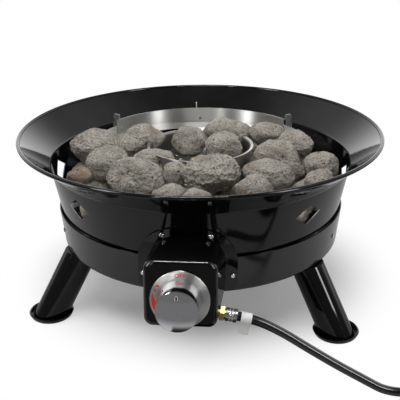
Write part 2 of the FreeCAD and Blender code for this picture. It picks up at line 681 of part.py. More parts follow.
def gas_tube(orifice, valve):
    """Tube from the back of the valve through the pan wall to the jet."""
    start = Vector(0, DIAL_Y + VALVE_BACK / 2, GAS_TUBE_Z)
    outer = Part.makeCylinder(GAS_TUBE_RADIUS, -start.y, start, Vector(0, 1, 0))
    bore = Part.makeCylinder(GAS_TUBE_RADIUS - GAS_TUBE_WALL, -start.y, start, Vector(0, 1, 0))
    return outer.cut(bore).cut([orifice, valve])


def tube_grommet(pan):
    middle = pan_radius(GAS_TUBE_Z, PAN_SHEET / 2)
    start = front_point(middle + GROMMET_HALF_LENGTH, GAS_TUBE_Z)
    body = Part.makeCylinder(GROMMET_RADIUS, 2 * GROMMET_HALF_LENGTH, start, Vector(0, 1, 0))
    bore = Part.makeCylinder(GAS_TUBE_RADIUS, 2 * GROMMET_HALF_LENGTH, start, Vector(0, 1, 0))
    return body.cut(bore).cut(pan)


# ---- control box -------------------------------------------------------------------------------
def rounded_outline(half_width, bottom, top, bottom_corner, top_corner, place):
    """Closed wire of a rectangle with round corners; place maps (across, up) to a point."""
    def arc(cx, cy, radius, start):
        points = [place(cx + radius * math.cos(math.radians(start + a)),
                        cy + radius * math.sin(math.radians(start + a))) for a in (0, 45, 90)]
        return Part.Arc(*points).toShape()

    right_top = arc(half_width - top_corner, top - top_corner, top_corner, 0)
    left_top = arc(-half_width + top_corner, top - top_corner, top_corner, 90)
    left_bottom = arc(-half_width + bottom_corner, bottom + bottom_corner, bottom_corner, 180)
    right_bottom = arc(half_width - bottom_corner, bottom + bottom_corner, bottom_corner, 270)
    arcs = [right_top, left_top, left_bottom, right_bottom]
    edges = []
    for index, edge in enumerate(arcs):
        following = arcs[(index + 1) % len(arcs)]
        edges += [edge, straight(edge.Vertexes[-1].Point, following.Vertexes[0].Point)]
    return Part.Wire(edges)


def box_body(inset, root_y):
    """Drawn box from its root on the drum to the tilted face, inset millimetres smaller."""
    face_wire = rounded_outline(
        BOX_HALF_WIDTH - inset, -BOX_BELOW_DIAL + inset, BOX_ABOVE_DIAL - inset,
        BOX_CORNER - inset, BOX_CORNER - inset, lambda x, y: on_face(x, y, -inset))
    root_wire = rounded_outline(
        BOX_ROOT_HALF_WIDTH - inset, BOX_BOTTOM_Z + inset, BOX_ROOT_TOP_Z - inset,
        BOX_CORNER - inset, BOX_ROOT_CORNER - inset, lambda x, y: Vector(x, root_y, y))
    body = Part.makeLoft([root_wire, face_wire], True, True)
    front = [e for e in body.Edges
             if all(abs((v.Point - on_face(0, 0, -inset)).dot(FACE_NORMAL)) < 0.01 for v in e.Vertexes)]
    return body.makeFillet(BOX_EDGE - inset, front)


def cover_inner_radius(z):
    return max(bowl_radius(z), PAN_LIP_RADIUS) + COVER_STANDOFF


def cover_profile(depth):
    """(radius, z) points of the cover flange's surface, depth millimetres out from its inside."""
    bend_z = BOWL_FOOT_Z + (PAN_LIP_RADIUS - BOWL_FOOT_RADIUS) / BOWL_SLOPE
    top_z = COVER_TOP_Z + COVER_CORNER / 4
    slant = math.hypot(1, BOWL_SLOPE)
    return [(cover_inner_radius(BOX_BOTTOM_Z) + depth, BOX_BOTTOM_Z),
            (cover_inner_radius(bend_z) + depth, bend_z + depth * (1 - slant) / BOWL_SLOPE),
            (cover_inner_radius(top_z) + depth * slant, top_z)]


def cover_screw_frame(azimuth, z):
    """Seat point and outward direction of a cover screw, at the front before it is turned."""
    if z > BOWL_FOOT_Z + (PAN_LIP_RADIUS - BOWL_FOOT_RADIUS) / BOWL_SLOPE:
        tilt = math.atan(BOWL_SLOPE)
        radius = cover_inner_radius(z) + BOX_SHEET / math.cos(tilt)
    else:
        tilt = 0.0
        radius = cover_inner_radius(z) + BOX_SHEET
    return front_point(radius, z), Vector(0, -math.cos(tilt), -math.sin(tilt))


def cover_screw_holes():
    """Pairs of whether a hole lies in the bowl, and the hole itself."""
    holes = []
    for azimuth, z in COVER_SCREWS:
        seat, outward = cover_screw_frame(azimuth, z)
        hole = Part.makeCylinder(SCREW_RADIUS + SCREW_CLEARANCE, 2 * SCREW_LENGTH + SCREW_HEAD_HEIGHT,
                                 seat + outward * SCREW_HEAD_HEIGHT, outward * -1)
        holes.append((z > BOWL_FOOT_Z, at_azimuth(hole, azimuth)))
    return holes


def cover_screws():
    screws = []
    for azimuth, z in COVER_SCREWS:
        seat, outward = cover_screw_frame(azimuth, z)
        head = Part.makeCylinder(SCREW_HEAD_RADIUS, SCREW_HEAD_HEIGHT, seat, outward)
        top = [e for e in head.Edges if len(e.Vertexes) == 1
               and abs((e.Vertexes[0].Point - seat).dot(outward) - SCREW_HEAD_HEIGHT) < 0.01]
        head = head.makeFillet(SCREW_HEAD_HEIGHT / 2, top)
        shank = Part.makeCylinder(SCREW_RADIUS, SCREW_LENGTH, seat, outward * -1)
        screws.append(at_azimuth(head.fuse(shank), azimuth))
    return screws


def box_cover():
    core = revolved(polygon_face(
        [front_point(0, BOX_BOTTOM_Z - BOX_CORNER)] + [front_point(r, z) for r, z in (
            [(cover_inner_radius(BOX_BOTTOM_Z), BOX_BOTTOM_Z - BOX_CORNER)] + cover_profile(0.0)[1:])]
        + [front_point(0, cover_profile(0.0)[-1][1])]))
    inner, outer = cover_profile(0.0), cover_profile(BOX_SHEET)
    flange = revolved(polygon_face([front_point(r, z) for r, z in inner + outer[::-1]]),
                      4 * COVER_HALF_WIDTH / math.radians(BOWL_FOOT_RADIUS))
    arch = Part.Face(rounded_outline(COVER_HALF_WIDTH, BOX_BOTTOM_Z, COVER_TOP_Z, BOX_CORNER, COVER_CORNER,
                                     lambda x, y: Vector(x, 2 * DIAL_Y, y)))
    flange = flange.common(arch.extrude(Vector(0, -2 * DIAL_Y, 0)))
    hollow = box_body(BOX_SHEET, BOX_ROOT_Y + BOX_CORNER)
    body = box_body(0.0, BOX_ROOT_Y).cut(core)
    cover = flange.fuse(body).cut(hollow)
    bush_hole = dial_cylinder(BUSH_RADIUS + BUSH_CLEARANCE, -2 * BOX_SHEET, BOX_SHEET)
    inlet_hole = Part.makeCylinder(INLET_HOLE_RADIUS, BOX_HALF_WIDTH, INLET_START - INLET_DIRECTION * 25,
                                   INLET_DIRECTION)
    return cover.cut([bush_hole, inlet_hole] + [hole for _, hole in cover_screw_holes()])


# ---- valve, dial and knob ----------------------------------------------------------------------
def valve_body():
    corner = on_face(-VALVE_HALF_WIDTH, -VALVE_BELOW, -VALVE_BACK)
    block = Part.makeBox(2 * VALVE_HALF_WIDTH, VALVE_BELOW + VALVE_ABOVE, VALVE_BACK - VALVE_FRONT)
    # Local X runs across the face, Y up it and Z out of it.
    turn = Rotation(Vector(1, 0, 0), FACE_UP, FACE_NORMAL, "ZXY")
    block.Placement = FreeCAD.Placement(corner, turn)
    shoulder = dial_cylinder(VALVE_SHOULDER_RADIUS, -VALVE_FRONT, -BOX_SHEET)
    bush = dial_cylinder(BUSH_RADIUS, -VALVE_FRONT, BUSH_FRONT)
    bore = dial_cylinder(STEM_RADIUS + STEM_FIT, -STEM_BACK - KNOB_TRAVEL - BOX_SHEET, BUSH_FRONT)
    return block.fuse([shoulder, bush]).cut(bore).removeSplitter()


def valve_stem():
    return dial_cylinder(STEM_RADIUS, -STEM_BACK, STEM_FRONT)


def dial_plate():
    """Round plate with a blunt point at its top."""
    half_angle = math.radians(DIAL_TIP_HALF_ANGLE)
    reach = DIAL_TIP / math.cos(half_angle)
    disc = dial_cylinder(DIAL_RADIUS, 0, DIAL_SHEET)
    wedge = polygon_face([
        on_face(0, DIAL_TIP, 0),
        on_face(reach * math.sin(half_angle) * 2, DIAL_TIP - reach * math.cos(half_angle) * 2, 0),
        on_face(-reach * math.sin(half_angle) * 2, DIAL_TIP - reach * math.cos(half_angle) * 2, 0)])
    plate = disc.common(wedge.extrude(FACE_NORMAL * DIAL_SHEET))
    tip = [e for e in plate.Edges if len(e.Vertexes) == 2
           and all(abs((v.Point - on_face(0, DIAL_TIP, 0)).dot(FACE_UP)) < 0.01 for v in e.Vertexes)]
    plate = plate.makeFillet(DIAL_TIP_ROUND, tip)
    return plate.cut(dial_cylinder(BUSH_RADIUS + BUSH_CLEARANCE, 0, DIAL_SHEET))


def lock_nut():
    nut = hexagon_prism(LOCK_NUT_FLATS, LOCK_NUT_HEIGHT, on_face(0, 0, DIAL_SHEET), FACE_NORMAL)
    return nut.cut(dial_cylinder(BUSH_RADIUS, DIAL_SHEET, DIAL_SHEET + LOCK_NUT_HEIGHT))


def push_collar():
    """Washer that passes the push from the knob's hub to the return spring."""
    back = KNOB_HUB_BACK - COLLAR_THICKNESS
    outer = dial_cylinder(COLLAR_RADIUS, back, KNOB_HUB_BACK)
    return outer.cut(dial_cylinder(STEM_RADIUS + STEM_FIT, back, KNOB_HUB_BACK))


def return_spring():
    length = KNOB_HUB_BACK - COLLAR_THICKNESS - BUSH_FRONT - 2 * SPRING_WIRE
    helix = Part.makeHelix(length / SPRING_TURNS, length, SPRING_RADIUS)
    section = Part.Wire(Part.makeCircle(SPRING_WIRE, Vector(SPRING_RADIUS, 0, 0), Vector(0, 1, 0)))
    coil = Part.Wire(helix).makePipeShell([section], True, True)
    return placed(coil, on_face(0, 0, BUSH_FRONT + SPRING_WIRE), FACE_NORMAL)


def knob():
    """Hollow knob: a skirt, a front wall and a hub on the stem."""
    def disc(radius_back, radius_front, back, front):
        return placed(Part.makeCone(radius_back, radius_front, front - back), on_face(0, 0, back),
                      FACE_NORMAL)

    front = disc(KNOB_SKIRT_RADIUS, KNOB_RADIUS, KNOB_BACK, KNOB_FRONT)
    hollow = disc(KNOB_SKIRT_RADIUS - KNOB_WALL, KNOB_RADIUS - KNOB_WALL, KNOB_BACK,
                  KNOB_FRONT - 2 * KNOB_WALL)
    hub = dial_cylinder(KNOB_HUB_RADIUS, KNOB_HUB_BACK, KNOB_FRONT - 2 * KNOB_WALL)
    bore = dial_cylinder(STEM_RADIUS, KNOB_HUB_BACK, STEM_FRONT)
    return front.cut(hollow).fuse(hub).cut(bore).removeSplitter()


def cap_dome_radius():
    return (CAP_RADIUS ** 2 + CAP_DOME ** 2) / (2 * CAP_DOME)


def pointer_prism():
    ellipse = Part.Ellipse(on_face(0, POINTER_CENTRE, 0), POINTER_HALF_HEIGHT, POINTER_HALF_WIDTH)
    drop = cap_dome_radius() - math.sqrt(cap_dome_radius() ** 2 - POINTER_CENTRE ** 2)
    surface = KNOB_FRONT + CAP_RIM + CAP_DOME - drop
    flat = Part.Ellipse(Vector(0, 0, 0), POINTER_HALF_HEIGHT, POINTER_HALF_WIDTH).toShape()
    flat.rotate(Vector(0, 0, 0), AXIS_Z, 90)
    prism = Part.Face(Part.Wire(flat)).extrude(Vector(0, 0, POINTER_DEPTH + POINTER_PROUD))
    turn = Rotation(Vector(1, 0, 0), FACE_UP, FACE_NORMAL, "ZXY")
    prism.Placement = FreeCAD.Placement(on_face(0, POINTER_CENTRE, surface - POINTER_DEPTH), turn)
    return prism


def knob_cap():
    """Domed front of the knob, with a pocket for the pointer."""
    rim = dial_cylinder(CAP_RADIUS, KNOB_FRONT, KNOB_FRONT + CAP_RIM)
    sphere = Part.makeSphere(cap_dome_radius(), on_face(0, 0, KNOB_FRONT + CAP_RIM + CAP_DOME
                                                        - cap_dome_radius()))
    dome = sphere.common(dial_cylinder(CAP_RADIUS, KNOB_FRONT + CAP_RIM / 2, KNOB_FRONT + 2 * CAP_DOME
                                       + CAP_RIM))
    return rim.fuse(dome).removeSplitter().cut(pointer_prism())


# ---- gas inlet ---------------------------------------------------------------------------------
def inlet_pipe(valve):
    start = INLET_START - INLET_DIRECTION * (BOX_HALF_WIDTH - VALVE_HALF_WIDTH + 2 * BOX_SHEET + 2)
    length = (FERRULE_START - start).Length
    return Part.makeCylinder(INLET_PIPE_RADIUS, length, start, INLET_DIRECTION).cut(valve)


def inlet_nut():
    nut = hexagon_prism(INLET_NUT_FLATS, INLET_NUT_LENGTH, INLET_START, INLET_DIRECTION)
    return nut.cut(Part.makeCylinder(INLET_PIPE_RADIUS, INLET_NUT_LENGTH, INLET_START, INLET_DIRECTION))


def crimp_ferrule(start, direction, length):
    """Neck and crimped sleeve of a hose end."""
    neck = Part.makeCylinder(FERRULE_NECK_RADIUS, FERRULE_NECK_LENGTH, start, direction)
    sleeve_start = start + direction * FERRULE_NECK_LENGTH
    sleeve = Part.makeCylinder(FERRULE_RADIUS, length, sleeve_start, direction)
    groove = Part.makeTorus(FERRULE_RADIUS + 0.5, 1.3)
    grooves = [placed(groove, sleeve_start + direction * (length * share), direction)
               for share in (0.35, 0.6)]
    return neck.fuse(sleeve).cut(grooves).removeSplitter()


# ---- flame guard -------------------------------------------------------------------------------
def guard_strip(inner_radius, bottom_z, top_z, start, end):
    profile = polygon_face([front_point(inner_radius, bottom_z),
                            front_point(inner_radius + GUARD_SHEET, bottom_z),
                            front_point(inner_radius + GUARD_SHEET, top_z),
                            front_point(inner_radius, top_z)])
    return at_azimuth(revolved(profile, end - start), (start + end) / 2)


def guard_rivet_azimuths():
    """Azimuths of the rivets: each lies on the fin's tab, on the side of the band's middle."""
    middle = (GUARD_BAND_FROM + GUARD_BAND_TO) / 2
    offset = math.degrees(GUARD_RIVET_OFFSET / GUARD_BAND_RADIUS)
    return [a + (offset if a < middle else -offset) for a in GUARD_FIN_AZIMUTHS]


def guard_rivet_hole(azimuth):
    hole = Part.makeCylinder(GUARD_RIVET_RADIUS, 8 * GUARD_RIVET_HEAD_RADIUS,
                             front_point(GUARD_BAND_RADIUS + 4 * GUARD_RIVET_HEAD_RADIUS, GUARD_RIVET_Z),
                             Vector(0, 1, 0))
    return at_azimuth(hole, azimuth)


def guard_band():
    band = guard_strip(GUARD_BAND_RADIUS - GUARD_SHEET, GUARD_BAND_BOTTOM_Z, GUARD_BAND_TOP_Z,
                       GUARD_BAND_FROM, GUARD_BAND_TO)
    return band.cut([guard_rivet_hole(a) for a in guard_rivet_azimuths()])


def guard_rail():
    rail = guard_strip(GUARD_BAND_RADIUS, GUARD_RAIL_BOTTOM_Z, GUARD_RAIL_TOP_Z, GUARD_RAIL_FROM,
                       GUARD_RAIL_TO)
    return rail.cut([guard_rivet_hole(a) for a in guard_rivet_azimuths()])


def guard_fin(side):
    """Upright fin on the tray, with a hook over the band and a tab behind the rail."""
    back = GUARD_BAND_RADIUS + GUARD_SHEET
    outer = back + GUARD_FIN_DEPTH
    hook_z = GUARD_FIN_HOOK_Z
    band_clear_z = GUARD_BAND_TOP_Z
    outline = polygon_face([
        front_point(back, TRAY_TOP_Z), front_point(outer, TRAY_TOP_Z), front_point(outer, hook_z - 6),
        front_point(outer - 4, hook_z), front_point(GUARD_BAND_RADIUS - 2, hook_z),
        front_point(GUARD_BAND_RADIUS - 3, band_clear_z), front_point(back, band_clear_z)])
    fin = outline.extrude(Vector(GUARD_FIN_SHEET, 0, 0))
    fin.translate(Vector(-GUARD_FIN_SHEET / 2, 0, 0))
    notch = Part.makeCylinder(GUARD_FIN_NOTCH_RADIUS, 2 * GUARD_TAB_WIDTH,
                              Vector(-GUARD_TAB_WIDTH, -outer - 1, hook_z - 12), Vector(1, 0, 0))
    sweep = math.degrees(GUARD_TAB_WIDTH / back)
    tab = revolved(polygon_face([
        front_point(back, GUARD_TAB_BOTTOM_Z), front_point(back + GUARD_FIN_SHEET, GUARD_TAB_BOTTOM_Z),
        front_point(back + GUARD_FIN_SHEET, GUARD_TAB_TOP_Z), front_point(back, GUARD_TAB_TOP_Z)]), sweep)
    fin = fin.cut(notch).fuse(at_azimuth(tab, side * sweep / 2))
    # Room for the curved rail and band behind which the flat fin stands.
    return fin.cut(ring(back, 0.1, GUARD_RAIL_BOTTOM_Z - 1, band_clear_z)).removeSplitter()


def guard_fins():
    middle = (GUARD_BAND_FROM + GUARD_BAND_TO) / 2
    fins = []
    for azimuth, rivet_azimuth in zip(GUARD_FIN_AZIMUTHS, guard_rivet_azimuths()):
        fin = at_azimuth(guard_fin(1 if azimuth < middle else -1), azimuth)
        fins.append(fin.cut(guard_rivet_hole(rivet_azimuth)))
    return fins


def guard_rivets():
    grip = 2 * GUARD_SHEET + GUARD_FIN_SHEET
    one = rivet(GUARD_BAND_RADIUS + GUARD_SHEET + GUARD_FIN_SHEET, grip, GUARD_RIVET_RADIUS,
                GUARD_RIVET_HEAD_RADIUS, GUARD_RIVET_HEAD_HEIGHT, GUARD_RIVET_Z)
    inside = Part.makeCylinder(GUARD_BAND_RADIUS - GUARD_SHEET, GUARD_TAB_TOP_Z - GUARD_TAB_BOTTOM_Z,
                               Vector(0, 0, GUARD_TAB_BOTTOM_Z))
    walls = ring(GUARD_BAND_RADIUS + GUARD_SHEET + GUARD_FIN_SHEET, GUARD_BAND_RADIUS - GUARD_SHEET,
                 GUARD_TAB_BOTTOM_Z, GUARD_TAB_TOP_Z).cut(guard_rivet_hole(0.0))
    return [at_azimuth(one.cut(walls), a) for a in guard_rivet_azimuths()]


# ---- lava rocks --------------------------------------------------------------------------------
class RockBed:
    """Stones of one flatness: in a space squeezed by that flatness they are balls, so a stone's
    height follows from its place and the balls that it comes to rest on."""

    def __init__(self):
        self.balls = []

    def settle(self, x, y, half_width, floor_z):
        height = floor_z / ROCK_FLATNESS + half_width + ROCK_GAP
        for other_x, other_y, other_height, other_half in self.balls:
            reach = half_width + other_half + ROCK_GAP
            aside = math.hypot(x - other_x, y - other_y)
            if aside < reach:
                height = max(height, other_height + math.sqrt(reach ** 2 - aside ** 2))
        self.balls.append((x, y, height, half_width))
        ball = Part.makeSphere(half_width)
        squeeze = FreeCAD.Matrix()
        squeeze.scale(1, 1, ROCK_FLATNESS)
        stone = ball.transformGeometry(squeeze)
        stone.translate(Vector(x, y, height * ROCK_FLATNESS))
        return stone


def clear_of_guard(x, y, half_width):
    """Place of a stone in plan, drawn in where it would reach the rail of the rear guard."""
    reach = math.hypot(x, y)
    azimuth = math.degrees(math.atan2(x, -y)) % 360.0
    spread = math.degrees(math.asin(half_width / max(reach, half_width)))
    before_rail = azimuth + spread < GUARD_RAIL_FROM
    after_rail = azimuth - spread > GUARD_RAIL_TO
    limit = GUARD_BAND_RADIUS - GUARD_SHEET - ROCK_GAP - half_width
    if before_rail or after_rail or reach <= limit:
        return x, y
    return x * limit / reach, y * limit / reach


def lava_rocks():
    bed = RockBed()
    floor = TRAY_TOP_Z
    spans = []
    fins = list(GUARD_FIN_AZIMUTHS) + [GUARD_FIN_AZIMUTHS[0] + 360.0]
    for start, end, count in zip(fins, fins[1:], LOWER_ROCK_COUNT):
        spans += [start + (end - start) * (i + 0.5) / count for i in range(count)]
    nodes = {"outer_rocks": [], "middle_rocks": []}
    for azimuth in spans:
        angle = math.radians(azimuth)
        nodes["outer_rocks"].append(bed.settle(
            LOWER_ROCK_CIRCLE * math.sin(angle), -LOWER_ROCK_CIRCLE * math.cos(angle),
            LOWER_ROCK_HALF_WIDTH, floor))
    for i in range(MIDDLE_ROCK_COUNT):
        angle = math.radians(360.0 * i / MIDDLE_ROCK_COUNT)
        nodes["middle_rocks"].append(bed.settle(
            MIDDLE_ROCK_CIRCLE * math.sin(angle), -MIDDLE_ROCK_CIRCLE * math.cos(angle),
            MIDDLE_ROCK_HALF_WIDTH, floor))
    for side, stones in UPPER_ROCKS.items():
        nodes["top_rocks_" + side] = [
            bed.settle(*clear_of_guard(x, y, half), half, floor) for x, y, half in stones]
    nodes["ring_rocks"] = [bed.settle(x, y, half, GRATE_Z + GRATE_SHEET) for x, y, half in RING_ROCKS]
    return nodes


# ---- hose --------------------------------------------------------------------------------------
def hose_path(points):
    """Straight runs joined by tangent arcs, as large as the runs allow."""
    edges, at = [], points[0]
    radii = []
    for before, corner, after in zip(points, points[1:], points[2:]):
        inward = (corner - before).normalize()
        outward = (after - corner).normalize()
        turn = inward.getAngle(outward)
        reach = 0.45 * min((corner - before).Length, (after - corner).Length)
        radius = reach / math.tan(turn / 2)
        radii.append(round(radius, 1))
        begin, end = corner - inward * reach, corner + outward * reach
        to_centre = (outward - inward).normalize()
        centre = corner + to_centre * math.hypot(radius, reach)
        edges += [straight(at, begin), Part.Arc(begin, centre - to_centre * radius, end).toShape()]
        at = end
    edges.append(straight(at, points[-1]))
    print("hose radii:", radii)
    return Part.Wire(edges)


def hose_tube(points):
    path = hose_path(points)
    direction = (points[1] - points[0]).normalize()
    section = Part.Wire(Part.makeCircle(HOSE_RADIUS, points[0], direction))
    tube = path.makePipeShell([section], True, True)
    print("hose tube length", round(path.Length, 1), "volume ratio",
          round(tube.Volume / (path.Length * math.pi * HOSE_RADIUS ** 2), 4))
    return tube


def coil_point(x, y, z):
    return Vector(COIL_X + x, COIL_Y + y, z)


def hose_coil():
    coil = ring(COIL_OUTER_TURN + HOSE_RADIUS, COIL_INNER_TURN - HOSE_RADIUS, 0, 2 * HOSE_RADIUS
                * COIL_LAYER_COUNT)
    coil.translate(Vector(COIL_X, COIL_Y, 0))
    return coil


def hose_tag():
    """Paper strip folded over the hose, its two ends pasted together below it."""
    first, second = Vector(*HOSE_POINTS[0]), Vector(*HOSE_POINTS[1])
    direction = (first - FERRULE_END).normalize()
    centre = FERRULE_END + direction * ((TAG_X - FERRULE_END.x) / direction.x)
    start = centre - direction * (TAG_WIDTH / 2)
    inner = HOSE_RADIUS + TAG_GAP
    loop = Part.makeCylinder(inner + TAG_THICKNESS, TAG_WIDTH, start, direction)
    flag = Part.makeBox(TAG_WIDTH, 2 * TAG_THICKNESS, inner + TAG_DROP)
    flag.rotate(Vector(0, 0, 0), Vector(0, 1, 0), INLET_DROOP)
    side = direction.cross(Vector(0, 1, 0)).normalize()
    flag.translate(start + side * (-(inner + TAG_DROP)) - Vector(0, TAG_THICKNESS, 0))
    bore = Part.makeCylinder(inner, TAG_WIDTH * 3, start - direction * TAG_WIDTH, direction)
    return loop.fuse(flag).cut(bore).removeSplitter()


# ---- regulator ---------------------------------------------------------------------------------
PORT_START = coil_point(*TAIL_POINTS[-1])
PORT_DIRECTION = Vector(1, 0, 0)
REGULATOR_BASE_Z = 2 * HOSE_RADIUS * COIL_LAYER_COUNT


def along_port(distance):
    return PORT_START + PORT_DIRECTION * distance


def regulator_centre_distance():
    return END_FERRULE_LENGTH + FERRULE_NECK_LENGTH + REGULATOR_NECK + REGULATOR_RADIUS


def regulator_body():
    centre = along_port(regulator_centre_distance())
    centre.z = REGULATOR_BASE_Z
    disc = Part.makeCylinder(REGULATOR_RADIUS, REGULATOR_HEIGHT, centre)
    edges = [e for e in disc.Edges if e.Curve.TypeId == "Part::GeomCircle"]
    disc = disc.makeFillet(REGULATOR_NECK / 2, edges)
    reach = REGULATOR_RADIUS + REGULATOR_NECK
    port = Part.makeCylinder(REGULATOR_PORT_RADIUS, 2 * reach,
                             along_port(regulator_centre_distance() - reach), PORT_DIRECTION)
    return disc.fuse(port).removeSplitter()


def regulator_cap():
    centre = along_port(regulator_centre_distance())
    centre.z = REGULATOR_BASE_Z + REGULATOR_HEIGHT
    cap = Part.makeCone(REGULATOR_CAP_RADIUS, REGULATOR_CAP_RADIUS * 0.86, REGULATOR_CAP_HEIGHT, centre)
    top = [e for e in cap.Edges if e.Curve.TypeId == "Part::GeomCircle"
           and e.BoundBox.ZMin > centre.z + REGULATOR_CAP_HEIGHT / 2]
    return cap.makeFillet(REGULATOR_NECK / 2, top)


def nipple_start():
    return regulator_centre_distance() + REGULATOR_RADIUS + REGULATOR_NECK


def tank_nipple():
    """Brass nipple with the flange that holds the coupling nut."""
    start = along_port(nipple_start())
    pipe = Part.makeCylinder(NIPPLE_RADIUS, NIPPLE_LENGTH, start, PORT_DIRECTION)
    nose = Part.makeCone(NIPPLE_RADIUS, NIPPLE_RADIUS * 0.6, NIPPLE_RADIUS, start + PORT_DIRECTION
                         * NIPPLE_LENGTH, PORT_DIRECTION)
    flange_at = COUPLING_GAP + (COUPLING_LENGTH - COUPLING_BORE_DEPTH) + COUPLING_GAP
    flange = Part.makeCylinder(COUPLING_BORE_RADIUS - COUPLING_GAP, REGULATOR_NECK / 2,
                               start + PORT_DIRECTION * flange_at, PORT_DIRECTION)
    return pipe.fuse([nose, flange]).removeSplitter()


def coupling_nut():
    start = along_port(nipple_start() + COUPLING_GAP)
    body = Part.makeCylinder(COUPLING_RADIUS, COUPLING_LENGTH, start, PORT_DIRECTION)
    bore = Part.makeCylinder(COUPLING_BORE_RADIUS, COUPLING_BORE_DEPTH,
                             start + PORT_DIRECTION * (COUPLING_LENGTH - COUPLING_BORE_DEPTH),
                             PORT_DIRECTION)
    throat = Part.makeCylinder(NIPPLE_RADIUS + COUPLING_FIT, COUPLING_LENGTH, start, PORT_DIRECTION)
    rib = Part.makeCylinder(COUPLING_RIB_RADIUS, COUPLING_LENGTH * 0.8)
    ribs = []
    for i in range(COUPLING_RIBS):
        angle = 2 * math.pi * i / COUPLING_RIBS
        offset = Vector(0, COUPLING_RADIUS * math.cos(angle), COUPLING_RADIUS * math.sin(angle))
        ribs.append(placed(rib, start + PORT_DIRECTION * (COUPLING_LENGTH * 0.1) + offset, PORT_DIRECTION))
    return body.fuse(ribs).cut([bore, throat])


def main():
    os.makedirs("parts", exist_ok=True)
    pan, bowl = base_pan(), fire_bowl()
    export("fire_bowl", bowl)
    export("base_pan", pan)
    export("support_brackets", group(at_azimuth(support_bracket(), a) for a in BRACKET_AZIMUTHS))
    export("bracket_rivets", group(at_azimuth(bracket_rivet(), a) for a in BRACKET_AZIMUTHS))
    for side, azimuth in LEG_AZIMUTHS.items():
        export("leg_tube_" + side, at_azimuth(leg_tube(), azimuth))
        export("foot_flange_" + side, at_azimuth(foot_flange(), azimuth))
        export("top_flange_" + side, at_azimuth(top_flange(), azimuth))
    for name, piece in (("leg_studs", leg_stud()), ("leg_washers", leg_washer()), ("leg_nuts", leg_nut())):
        export(name, group(at_azimuth(piece, a) for a in LEG_AZIMUTHS.values()))

    export("rock_tray", rock_tray())
    export("flame_ring", flame_ring())
    export("burner_ring", burner_ring())
    export("burner_posts", group(at_azimuth(burner_post(), a) for a in BURNER_MOUNT_AZIMUTHS))
    export("burner_grate", burner_grate())
    export("air_mixer", air_mixer())
    orifice, valve = gas_orifice(), valve_body()
    tube = gas_tube(orifice, valve)
    export("gas_orifice", orifice)
    export("gas_tube", tube)
    export("tube_grommet", tube_grommet(pan))

    export("box_cover", box_cover())
    export("cover_screws", group(cover_screws()))
    export("valve_body", valve)
    export("dial_plate", dial_plate())
    export("valve_lock_nut", lock_nut())
    export("push_collar", push_collar())
    export("return_spring", return_spring())
    export("valve_stem", valve_stem())
    export("knob", knob())
    export("knob_cap", knob_cap())
    export("knob_pointer", pointer_prism())
    export("inlet_pipe", inlet_pipe(valve))
    export("inlet_nut", inlet_nut())
    ferrule = crimp_ferrule(FERRULE_START, INLET_DIRECTION, FERRULE_LENGTH)
    export("inlet_ferrule", ferrule)

    export("guard_band", guard_band())
    export("guard_rail", guard_rail())
    export("guard_fins", group(guard_fins()))
    export("guard_rivets", group(guard_rivets()))
    for name, stones in lava_rocks().items():
        export(name, group(stones))

    coil = hose_coil()
    run = hose_tube([FERRULE_END] + [Vector(*p) for p in HOSE_POINTS])
    export("hose_run", run.cut([coil, ferrule]))
    export("hose_coil", coil)
    export("hose_tail", hose_tube([coil_point(*p) for p in TAIL_POINTS]).cut(coil))
    export("hose_tag", hose_tag())
    end_neck = along_port(END_FERRULE_LENGTH + FERRULE_NECK_LENGTH)
    export("end_ferrule", crimp_ferrule(end_neck, PORT_DIRECTION * -1, END_FERRULE_LENGTH))
    export("regulator_body", regulator_body())
    export("regulator_cap", regulator_cap())
    export("tank_nipple", tank_nipple())
    export("coupling_nut", coupling_nut())


main()
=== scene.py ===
"""Tabletop gas fire pit: finishes, lava rocks, gas hose, dial markings and studio."""

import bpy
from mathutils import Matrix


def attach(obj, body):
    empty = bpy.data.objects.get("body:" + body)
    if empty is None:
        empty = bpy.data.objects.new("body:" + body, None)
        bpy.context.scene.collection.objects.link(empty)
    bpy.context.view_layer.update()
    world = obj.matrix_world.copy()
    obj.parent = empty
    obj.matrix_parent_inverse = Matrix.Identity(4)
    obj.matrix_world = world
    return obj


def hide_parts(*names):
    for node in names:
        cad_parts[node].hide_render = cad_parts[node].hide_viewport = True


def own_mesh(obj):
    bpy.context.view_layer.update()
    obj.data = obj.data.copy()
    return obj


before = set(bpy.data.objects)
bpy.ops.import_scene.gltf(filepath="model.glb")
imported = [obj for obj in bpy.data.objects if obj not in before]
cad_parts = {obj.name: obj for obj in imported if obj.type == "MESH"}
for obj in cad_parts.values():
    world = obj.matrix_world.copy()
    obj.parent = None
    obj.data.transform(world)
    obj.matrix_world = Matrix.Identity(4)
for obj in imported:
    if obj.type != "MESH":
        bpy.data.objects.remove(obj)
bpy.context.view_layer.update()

import logging
import math
import random
from dataclasses import dataclass
from enum import Enum

import bmesh
import bpy
import numpy as np
from mathutils import Matrix, Vector, noise

LOG = logging.getLogger("fire_pit")
MM = 0.001

Pair = tuple[float, float]
Triple = tuple[float, float, float]
Colour = Triple
Quad = tuple[float, float, float, float]
Tree = bpy.types.NodeTree
Socket = bpy.types.NodeSocket
Piece = bpy.types.Object


# ---- shader helpers --------------------------------------------------------------------------
def node(tree: Tree, kind: str, **values: object) -> bpy.types.Node:
    """Add a shader node and set its properties and inputs.

    Args:
        tree: Node tree that receives the node.
        kind: Blender's identifier of the node type.
        **values: Property values, or input values where no property has that name. Spaces in
            an input's name are written as underscores.

    Returns:
        The new node.
    """
    made = tree.nodes.new(kind)
    for key, value in values.items():
        if hasattr(made, key):
            setattr(made, key, value)
        else:
            made.inputs[key.replace("_", " ")].default_value = value
    return made


def feed(target: Socket, value: object) -> None:
    """Link a socket to an input, or set a plain value on the input."""
    if isinstance(value, bpy.types.NodeSocket):
        target.id_data.links.new(value, target)
    else:
        target.default_value = value


